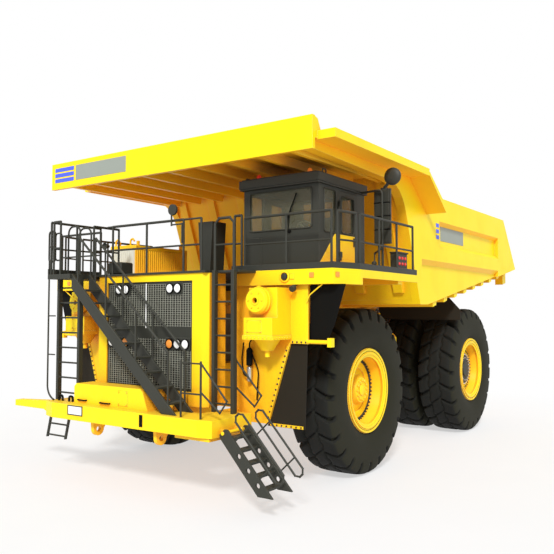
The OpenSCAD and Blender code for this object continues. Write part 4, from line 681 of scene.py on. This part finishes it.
neck = [turned([(0.1, -0.004), (0.1, 0.018), (0.085, 0.026), (0.074, 0.026), (0.07, 0.006)], (2.6, deck_y, 3.74),
               to_front, 36), slab((2.7, deck_y - 0.012, 3.69), (2.79, deck_y + 0.004, 3.79))]
put("filler_neck", merge(neck), "yellow_paint")
cap = [turned([(0.06, 0), (0.06, 0.03), (0.045, 0.036)], (2.6, deck_y - 0.004, 3.74), to_front, 8),
       turned([(0.05, 0), (0.055, 0.07), (0.05, 0.08)], (2.78, deck_y + 0.01, 3.545), (0, -1, -0.3), 24),
       slab((2.75, deck_y, 3.575), (2.81, deck_y + 0.06, 3.602))]
put("filler_cap", merge(cap), "charcoal_paint")

# %% [markdown]
# ## Cab
#
# Window panes sit in rubber sections, so each opening gets a rounded bead around it. The lower side panel is
# bolted on and painted yellow, with a sloped front edge that runs from the sill to the foot of the corner post. It
# is split at the door, and the door's half swings with the door. A wiper crosses the windscreen, and dark strips edge
# the roof and the foot of the front wall.

# %% Cab beads, panels and wiper
cab_y, cab_x, sill, head = -4.525, 2.98, 4.62, 5.34


def bead(a, b, body, name, flat):
    """A rubber section around a window between two opposite corners that share the coordinate numbered flat."""
    i = min({0, 1, 2} - {flat})
    ring = np.array([a, a, b, b], float)
    ring[1, i], ring[3, i] = b[i], a[i]
    return put(name, tube(ring, 0.014, 0.07, 8, closed=True), "charcoal_paint", body)


bead((1.46, cab_y - 0.003, sill), (2.83, cab_y - 0.003, head), "chassis", "bead_front", 1)
for name, x, out in (("left", cab_x, 1), ("right", 1.33, -1)):
    proud = x + 0.003 * out
    bead((proud, -4.365, 4.56), (proud, -3.945, head), "chassis", f"bead_{name}", 0)
    bead((proud, -3.745, 4.58), (proud, -3.265, 5.264), f"cab_door_{name}", f"bead_door_{name}", 0)
    front_half = prism([(x, -4.505, 4.0), (x, -3.99, 4.545), (x, -3.9, 4.545), (x, -3.9, 4.0)], (0.006 * out, 0, 0))
    put(f"side_panel_{name}", front_half, "yellow_paint")
    door_half = prism([(x, -3.79, 4.0), (x, -3.79, 4.55), (x, -3.19, 4.55), (x, -3.19, 4.0)], (0.006 * out, 0, 0))
    put(f"door_panel_{name}", door_half, "yellow_paint", f"cab_door_{name}")
wiper = [turned([(0.03, 0), (0.03, 0.03), (0.015, 0.04)], (2.36, cab_y, 4.58), to_front, 20),
         tube([(2.36, cab_y - 0.03, 4.58), (2.36, cab_y - 0.045, 4.75), (2.41, cab_y - 0.03, 5.02)], 0.009),
         tube([(2.28, cab_y - 0.018, 4.72), (2.52, cab_y - 0.018, 5.26)], 0.012)]
put("wiper", merge(wiper), "core_black")
visor = [slab((1.275, -4.618, 5.43), (3.035, -4.604, 5.585)), slab((3.019, -4.6, 5.43), (3.033, -2.81, 5.585)),
         slab((1.4, cab_y - 0.012, 3.9), (2.9, cab_y + 0.002, 3.96)),
         slab((1.4, cab_y - 0.008, 4.0), (1.75, cab_y, 4.5))]
visor += [handle((x, cab_y + 0.08, 5.6), (x, cab_y + 0.2, 5.6), (0, 0, 0.06), 0.012, 0.03) for x in (3.0, 1.32)]
put("cab_trim_strips", merge(visor), "charcoal_paint")

# %% [markdown]
# Beacons are moulded domes on a screwed base: red on the right of the roof and amber on the left.

# %% Beacons
dome = [(0.044, 0.0), (0.046, 0.045), (0.04, 0.068), (0.026, 0.084), (0.01, 0.09)]
red_x, amber_x, beacon_y, roof_z = 1.59, 2.72, -4.405, 5.6
foot = [(0.056, 0), (0.056, 0.016), (0.05, 0.02)]
bases = repeated(foot, [(x, beacon_y, roof_z) for x in (red_x, amber_x)], to_sky, 32)
put("beacon_bases", bases, "charcoal_paint")
for name, x, coat in (("red", red_x, "lens_red"), ("amber", amber_x, "beacon_lens")):
    lens = turned(dome, (x, beacon_y, roof_z + 0.018), to_sky, 32)
    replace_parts(put(f"beacon_{name}", lens, coat), "beacons")

# %% [markdown]
# ## Seats
#
# A seat pad is foam in a sewn cover. It starts as a rounded box, a little too small, and a cloth simulation blows it
# up from inside until the cover is tight, so the faces crown and the sides pull in between the corners. The sewn
# channels are pressed in afterwards as shallow grooves, because the simulation would smooth them away.

# %% Seats
def pad(centre, half, lean):
    """A rounded box: sine and cosine on a sphere, each raised to the power 0.4, scaled to half and leaned back."""
    lat = np.linspace(-math.pi / 2, math.pi / 2, 26)[1:-1, None]
    lon = np.linspace(0, 2 * math.pi, 48, endpoint=False)[None]

    def boxy(t):
        return np.sign(t) * np.abs(t) ** 0.4

    girth, c, s = boxy(np.cos(lat)), math.cos(lean), math.sin(lean)
    p = np.stack([girth * boxy(np.cos(lon)), girth * boxy(np.sin(lon)), boxy(np.sin(lat)) + 0 * lon], -1) * half
    y, z = p[..., 1] * c - p[..., 2] * s, p[..., 1] * s + p[..., 2] * c
    return grid(np.stack([p[..., 0], y, z], -1) + np.asarray(centre))


def evaluated(obj):
    """The mesh of an object with its modifiers worked out, as a new mesh."""
    return bpy.data.meshes.new_from_object(obj.evaluated_get(bpy.context.evaluated_depsgraph_get()))


def spots(mesh):
    """The points of a mesh as an array of rows."""
    co = np.empty(len(mesh.vertices) * 3)
    mesh.vertices.foreach_get("co", co)
    return co.reshape(-1, 3)


def stuff(obj, most=0.014, frames=14):
    """Remesh evenly, blow up as cloth from inside, and keep each point within the most that it may move."""
    remesh = obj.modifiers.new("even", "REMESH")
    remesh.mode, remesh.voxel_size = "VOXEL", 0.014
    mesh = evaluated(obj)
    obj.modifiers.clear()
    coat = obj.data.materials[0]
    obj.data = mesh
    before = spots(mesh)
    cover = obj.modifiers.new("cover", "CLOTH")
    cover.settings.use_pressure, cover.settings.uniform_pressure_force = True, 4.0
    cover.settings.effector_weights.gravity = 0.0
    for number in range(1, frames + 1):
        scene.frame_set(number)
    move = spots(evaluated(obj)) - before
    obj.modifiers.clear()
    scene.frame_set(1)
    size = np.linalg.norm(move, axis=1, keepdims=True)
    before = before + move * np.minimum(1.0, most / np.maximum(size, 1e-9))
    return before, mesh, coat


for number, x in enumerate((1.75, 2.42), 1):
    for part, centre, half, lean in (("cushion", (x, -3.535, 4.325), (0.222, 0.218, 0.052), 0.0),
                                     ("back", (x, -3.29, 4.70), (0.214, 0.04, 0.285), -0.13)):
        piece = put(f"seat_{part}_{number}", pad(centre, half, lean), "seat_fabric", sharp=80)
        points, mesh, coat = stuff(piece)
        across = np.abs(points[:, 0] - x)
        towards = points - np.asarray(centre)
        groove = 0.008 * np.exp(-((across - 0.11) / 0.014) ** 2)[:, None]
        points -= groove * unit(towards * (0.0, 1.0, 1.0) + 1e-6)
        mesh.vertices.foreach_set("co", points.astype(np.float32).ravel())
        mesh.update()
        mesh.polygons.foreach_set("use_smooth", np.ones(len(mesh.polygons), bool))
        mesh.materials.clear()
        mesh.materials.append(coat)
        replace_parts(piece, "cab_seats")
        print(piece.name, len(points), "points", np.ptp(points, axis=0).round(3))

# %% [markdown]
# ## Mirrors
#
# The tall mirror is a row of flat panes in one frame, so its face shows three seams. A bent tube from the cab's roof
# guards it, with a small dark lamp below. The round mirror above it is a domed glass that shows the wheel.

# %% Mirrors
frame_lo, frame_hi = np.array((3.25, -2.955, 4.42)), np.array((3.59, -2.915, 5.47))
panes = [slab((frame_lo[0] + 0.03, frame_lo[1] - 0.006, z), (frame_hi[0] - 0.03, frame_lo[1] + 0.002, z + 0.235), 0.01)
         for z in (4.45, 4.705, 4.96, 5.215)]
put("mirror_panes", merge(panes), "charcoal_paint")
ribs = [slab((frame_lo[0] - 0.006, frame_lo[1] - 0.014, z), (frame_hi[0] + 0.006, frame_lo[1] + 0.01, z + 0.014), 0.004)
        for z in (4.688, 4.943, 5.198)]
put("mirror_seams", merge(ribs), "core_black")
guard_y = -3.03
guard = [tube([(3.0, guard_y, 5.42), (3.455, guard_y, 5.44), (3.455, guard_y, 4.33), (3.28, guard_y, 4.24),
               (3.26, -2.96, 4.24)], 0.021, 0.09),
         turned([(0.02, -0.05), (0.042, -0.03), (0.052, 0), (0.042, 0.03), (0.02, 0.046)], (3.29, -3.05, 4.05),
                to_front, 24),
         tube([(3.29, guard_y, 4.09), (3.29, guard_y, 4.25)], 0.012)]
put("mirror_guard", merge(guard), "charcoal_paint")
bulge = [(0.166, -0.004), (0.163, 0.012), (0.14, 0.032), (0.09, 0.048), (0.04, 0.054)]
put("round_mirror", turned(bulge, (3.63, -2.935, 5.69), to_front, 40), "charcoal_paint")
stay = tube([(3.45, -2.9, 5.46), (3.5, -2.87, 5.56), (3.6, -2.87, 5.66)], 0.016, 0.04)
put("round_mirror_stay", stay, "charcoal_paint")

# %% [markdown]
# ## Lamp box on the deck
#
# The box at the rear of the left deck shows the load: nine red lamps in three rows behind an overhanging lid.

# %% Lamp box
box_lo, box_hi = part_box("deck_box")
lid = slab((box_lo.x - 0.015, box_lo.y - 0.02, box_hi.z), (box_hi.x + 0.03, box_hi.y + 0.02, box_hi.z + 0.03), 0.01)
put("lamp_box_lid", lid, "charcoal_paint")
nine = [(box_hi.x, y, z) for y in np.linspace(box_lo.y + 0.09, box_hi.y - 0.09, 3) for z in (3.95, 4.06, 4.17)]
dot = [(0.032, -0.004), (0.032, 0.008), (0.022, 0.02), (0.008, 0.024)]
put("lamp_box_lamps", repeated(dot, nine, (1, 0, 0), 20), "lens_red")

# %% [markdown]
# ## Platform guards and grab tube
#
# At the head of the right ladder a climber steps through a cage of bent tubes. A long grab tube runs down beside the
# ladder on short stand-offs and turns in at its foot. All are lengths of the same tube with rounded corners. Behind
# the cage, a horn on a post and a dark box stand on the deck.

# %% Platform guards
gate_y, gate_x0, gate_x1 = -6.2, -2.25, -2.06
cage = [tube([(gate_x0, y, low), (gate_x1, y, low), (gate_x1, y, high), (gate_x0, y, high)], r, 0.07, closed=True)
        for y, low, high, r in ((gate_y, 4.12, 4.72, 0.018), (-6.05, 4.16, 4.7, 0.016))]
cage += [handle((x, y, deck_z), (x + 0.36, y, deck_z), (0, 0, high), 0.018, 0.16)
         for x, y, high in ((-1.98, -5.95, 0.96), (-1.9, -5.75, 0.94))]
cage += [tube([(gate_x0, gate_y, 4.42), (gate_x1, gate_y, 4.42)], 0.015),
         tube([(-2.16, gate_y, 4.13), (-2.16, gate_y, 4.71)], 0.014)]
grab_x, grab_y = -2.21, -6.22
cage.append(tube([(grab_x, grab_y, 4.14), (grab_x, grab_y, 1.62), (-2.1, grab_y, 1.47), (-2.02, grab_y, 1.45)],
                 0.017, 0.1))
cage += [tube([(grab_x, grab_y, z), (-2.0, grab_y, z)], 0.013) for z in (3.06, 2.31)]
put("platform_cage", merge(cage), "charcoal_paint")
horn_x, bell = -1.2, [(0.03, 0.1), (0.045, 0.04), (0.07, 0.0), (0.064, -0.012), (0.03, 0.02)]
horn = [turned(bell, (horn_x, -5.7, 4.42), to_rear, 28),
        tube([(horn_x, -5.68, deck_z), (horn_x, -5.68, 4.4)], 0.017),
        slab((horn_x, -5.62, 3.87), (-0.82, -5.3, 4.1), 0.02)]
put("deck_horn", merge(horn), "charcoal_paint")

# %% [markdown]
# ## Bumper fittings
#
# The box on the bumper is a lid over the tow gear, so it has two bar handles and a bolted cover. Two short rings on
# the bumper's top hold chains, and its front has a rubber pad a little left of the middle.

# %% Bumper fittings
box_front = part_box("bumper_box")[0].y
foot_y = box_front + 0.004
bars = [handle((x0, foot_y, z), (x1, foot_y, z), (0, -0.044, 0), 0.013, 0.02)
        for x0, x1, z in ((-1.26, -1.04, 1.5), (-0.65, -0.4, 1.49))]
bars += [handle((x, -6.16, 1.43), (x + 0.11, -6.16, 1.43), (0, 0, 0.1), 0.022, 0.05) for x in (-1.92, -1.62)]
put("bumper_bars", merge(bars), "core_black")
cover = [slab((-0.2, box_front - 0.006, 1.47), (0.06, box_front + 0.003, 1.74), 0.004)]
cover += [bolt((x, box_front - 0.006, z), to_front, 0.014, 0.012, 0.01, 0.016)
          for z in (1.5, 1.71) for x in (-0.17, 0.03)]
put("bumper_cover", merge(cover), "yellow_paint")
put("bumper_pad", slab((0.56, bumper_front - 0.012, 1.2), (0.64, bumper_front + 0.003, 1.4), 0.01), "core_black")

# %% [markdown]
# ## Fenders
#
# Behind each bulkhead a stiff rubber liner keeps mud off the deck. The flap below is clamped by a yellow strip with a
# bolt every hand's width. In front of the bulkhead hang a bright gas bottle below a dark one, and the pipes that
# join them.

# %% Fenders
def strip(a, b, wide, y, bolts):
    """A flat strip in an XZ plane from a to b, and evenly spaced bolt heads along its middle, as two shapes."""
    a, b = np.asarray(a, float), np.asarray(b, float)
    n = unit(np.array([-(b - a)[1], (b - a)[0]])) * wide / 2
    corners = [(p[0], y, p[1]) for p in (a + n, b + n, b - n, a - n)]
    heads = [bolt((p[0], y - 0.008, p[1]), to_front, 0.016, 0.012, 0.011, 0.017)
             for p in a + np.linspace(0.06, 0.94, bolts)[:, None] * (b - a)]
    return prism(corners, (0, -0.009, 0)), merge(heads)


flap_y, face_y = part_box("mud_flaps")[0].y, -4.924
for name, sign in both_sides:
    liner = prism([(sign * x, -4.853, z) for x, z in ((3.0, 3.6), (3.68, 3.6), (3.47, 2.95), (3.3, 2.6), (3.0, 2.6))],
                  (0, 0.018, 0))
    put(f"fender_liner_{name}", liner, "core_black")
    strips = [strip((sign * 2.596, 2.56), (sign * 2.161, 1.238), 0.06, face_y, 13),
              strip((sign * 2.2, 1.19), (sign * 2.88, 1.19), 0.05, flap_y, 7),
              strip((sign * 2.68, 2.63), (sign * 2.98, 2.63), 0.05, face_y, 4)]
    put(f"flap_strip_{name}", merge([plate for plate, heads in strips]), "yellow_paint")
    put(f"flap_bolts_{name}", merge([heads for plate, heads in strips]), "charcoal_paint")
    bottle_x, bottle_y = sign * 1.84, -5.02
    bright = turned([(0.03, 0), (0.048, 0.02), (0.048, 0.24), (0.03, 0.26)], (bottle_x, bottle_y, 1.92), to_sky, 28)
    put(f"gas_bottle_{name}", bright, "bright_steel")
    dark = [turned([(0.03, 0), (0.056, 0.02), (0.056, 0.28), (0.03, 0.32)], (bottle_x, bottle_y, 2.19), to_sky, 28)]
    runs = (([(0, 0, 2.5), (0, 0, 2.62), (0.06, 0.09, 2.7)], 0.014, 0.06),
            ([(-0.13, 0, 2.6), (-0.17, 0, 2.3), (-0.13, 0, 2.02), (0, 0, 2.0)], 0.013, 0.08),
            ([(0.03, 0, 2.45), (0.2, 0, 2.12), (0.17, 0, 1.72), (0.1, 0.09, 1.6)], 0.013, 0.08))
    dark += [tube([(bottle_x + sign * x, bottle_y + y, z) for x, y, z in path], r, bend) for path, r, bend in runs]
    put(f"brake_pipes_{name}", merge(dark), "core_black")
    stay = tube([(sign * 2.985, -4.94, 3.3), (sign * 3.05, -4.96, 3.42), (sign * 3.32, -4.98, 3.6)], 0.012, 0.05)
    put(f"fender_stay_{name}", stay, "yellow_paint")

# %% [markdown]
# The air cleaner's drum is closed by a cover with a port in its middle. A clamp band holds the cover, six wing nuts
# pull it tight, and the lower box has a bolted hatch and bolts along its flange. The port is drilled in the solid, so
# it only gets a raised lip here, and a black disc set inside it is painted shade for the depth of the hole.

# %% Air cleaners
flap_top, sixths = 3.62, np.arange(6) * math.pi / 3
for name, sign in both_sides:
    drum_x, drum_z, lid_y, band_y = sign * 2.315, 3.33, -5.493, -5.37
    lip = [(0.05, 0), (0.05, 0.014), (0.078, 0.012), (0.08, 0)]
    band = [(0.224, 0), (0.237, 0.004), (0.237, 0.026), (0.224, 0.03)]
    drum = [turned(lip, (drum_x, lid_y, drum_z), to_front, 40, loop=True),
            turned(band, (drum_x, band_y, drum_z), to_front, 60, loop=True),
            slab((drum_x - 0.03, -5.41, drum_z + 0.22), (drum_x + 0.03, -5.365, drum_z + 0.25), 0.006)]
    drum += [bolt((drum_x + 0.14 * c, lid_y, drum_z + 0.14 * s), to_front, 0.014, 0.014, 0.009, 0.02)
             for c, s in zip(np.cos(sixths), np.sin(sixths))]
    drum.append(slab((sign * 2.12, -5.481, 2.79), (sign * 2.44, -5.472, 3.0), 0.004))
    small = (0.012, 0.012, 0.008, 0.016)
    drum += [bolt((sign * x, -5.48, z), to_front, *small) for x in (2.14, 2.42) for z in (2.81, 2.98)]
    drum += [bolt((sign * x, -5.494, 2.71), to_front, *small) for x in np.linspace(2.07, 2.64, 8)]
    drum += [bolt((sign * 2.669, y, 2.71), (sign, 0, 0), *small) for y in np.linspace(-5.45, -4.98, 7)]
    put(f"cleaner_trim_{name}", merge(drum), "yellow_paint")
    # Painted shade: a black disc inside the port stands for the dark depth of the hole.
    port = turned([(0.047, 0), (0.047, 0.006)], (drum_x, -5.423, drum_z), to_front, 32)
    put(f"cleaner_port_shade_{name}", port, "core_black")
    clamp = strip((sign * 0.88, flap_top), (sign * 2.62, flap_top), 0.06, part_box("body_flaps")[0].y, 10)
    put(f"body_flap_clamp_{name}", merge(clamp), "charcoal_paint", "dump_body")

# %% [markdown]
# ## Rear and bed
#
# From behind, the axle housing shows a round hatch through which the wheel motors are reached, bolted all round. Red
# lamps sit in dark rings on the ends of the frame rails. The bed is lined with wear plates, which lie on the sloping
# floor with a finger's gap between them. The side tanks are held by steel straps and closed by ribbed caps.

# %% Rear and bed
hatch_y, rail_end, lamp_z = 3.8, 4.725, 2.43
around = np.linspace(0, 2 * math.pi, 20, endpoint=False)
hatch = [turned([(0.3, 0), (0.3, 0.125), (0.35, 0.125), (0.35, 0.148), (0.29, 0.155), (0.06, 0.158)],
                (0, hatch_y, axle_z), to_rear, 60)]
hatch += [bolt((0.32 * math.cos(a), hatch_y + 0.147, axle_z + 0.32 * math.sin(a)), to_rear, 0.016, 0.014, 0.011, 0.019)
          for a in around]
hatch += [handle((x, hatch_y + 0.15, axle_z + 0.05), (x, hatch_y + 0.15, axle_z - 0.09), (0, 0.05, 0), 0.011, 0.025)
          for x in (-0.09, 0.09)]
put("axle_hatch", merge(hatch), "yellow_paint")
tail_spots = [(s * x, rail_end, lamp_z) for s in (-1, 1) for x in (0.55, 0.7)]
tail_ring = [(0.047, -0.004), (0.047, 0.018), (0.06, 0.014), (0.062, -0.004)]
tail_lens = [(0.047, -0.004), (0.046, 0.014), (0.03, 0.022), (0.01, 0.025)]
put("tail_lamp_rings", repeated(tail_ring, tail_spots, to_rear, 32, loop=True), "core_black")
put("tail_lamps", repeated(tail_lens, tail_spots, to_rear, 32), "lens_red")


def bed_top(y):
    """Height of the floor's upper face: level up to the bend, then rising 17 parts in a hundred towards the tail."""
    return 3.4 + 0.17 * max(0.0, y + 0.125)


wear = [prism([(x, y0, bed_top(y0) - 0.004), (x, y1, bed_top(y1) - 0.004), (x, y1, bed_top(y1) + 0.012),
               (x, y0, bed_top(y0) + 0.012)], (0.92, 0, 0))
        for x in np.arange(6) * 0.95 - 2.835 for y0, y1 in ((0.0, 2.0), (2.03, 4.05), (4.08, 6.15))]
put("bed_liner", merge(wear), "yellow_paint", "dump_body")
tank_lo, tank_hi, tank_cut, strap_t = np.array((1.25, 1.15)), np.array((1.88, 2.6)), 0.09, 0.008
for name, sign in both_sides:
    (x0, z0), (x1, z1), c = tank_lo - strap_t, tank_hi + strap_t, tank_cut + 0.5 * strap_t
    eight = [(x0 + c, z0), (x1 - c, z0), (x1, z0 + c), (x1, z1 - c),
             (x1 - c, z1), (x0 + c, z1), (x0, z1 - c), (x0, z0 + c)]
    straps = [prism([(sign * x, y, z) for x, z in eight], (0, 0.07, 0)) for y in (-0.12, 0.7)]
    put(f"tank_straps_{name}", merge(straps), "charcoal_paint")
    lid_profile = [(0.1, -0.02), (0.108, 0.0), (0.108, 0.045), (0.09, 0.06)]
    put(f"tank_cap_{name}", turned(lid_profile, (sign * 1.565, 0.33, 2.685), to_sky, 16), "charcoal_paint", sharp=20)

# %% [markdown]
# ## Control cabinet
#
# The cabinet's walls are corrugated sheet, which is stiff and sheds heat. A corrugation is a sine across the sheet.
# The top frame is yellow, with two hooks for the crane.

# %% Control cabinet
cab_lo, cab_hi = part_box("control_cabinet")


def corrugated(width, height, ridge, pitch):
    """A thin wall with a flat back, depth = ridge times half of 1 + sine: the arrays across, up and depth."""
    u = np.linspace(0, width, int(width / pitch * 8) + 1)
    d = 0.004 + ridge * (1 + np.sin(2 * math.pi * u / pitch)) / 2
    loop = np.concatenate([np.stack([u, d], 1), np.stack([u[::-1], 0 * u], 1)])
    return np.broadcast_arrays(loop[:, 0], np.array([[0.0], [height]]), loop[:, 1])


margin, wall_z, wall_h = 0.03, 3.9, 0.58
u, up, d = corrugated(cab_hi.x - cab_lo.x - 2 * margin, wall_h, 0.018, 0.06)
front_wall = grid(np.stack([cab_lo.x + margin + u, cab_lo.y - d, wall_z + up], -1))
put("cabinet_front", front_wall, "panel_cream")
u, up, d = corrugated(cab_hi.y - cab_lo.y - 2 * margin, wall_h, 0.018, 0.06)
side_wall = grid(np.stack([cab_hi.x + d, cab_lo.y + margin + u, wall_z + up], -1))
put("cabinet_side", side_wall, "yellow_paint")
hooks = [tube([(x, cab_lo.y + 0.05, 4.55), (x, cab_lo.y + 0.05, 4.68), (x + 0.07, cab_lo.y + 0.05, 4.72),
               (x + 0.12, cab_lo.y + 0.05, 4.66)], 0.02, 0.03) for x in (cab_lo.x + 0.08, cab_hi.x - 0.22)]
hooks.append(slab((cab_lo.x - 0.01, cab_lo.y - 0.03, 4.49), (cab_hi.x + 0.03, cab_lo.y + 0.02, 4.57), 0.01))
put("cabinet_hooks", merge(hooks), "yellow_paint")
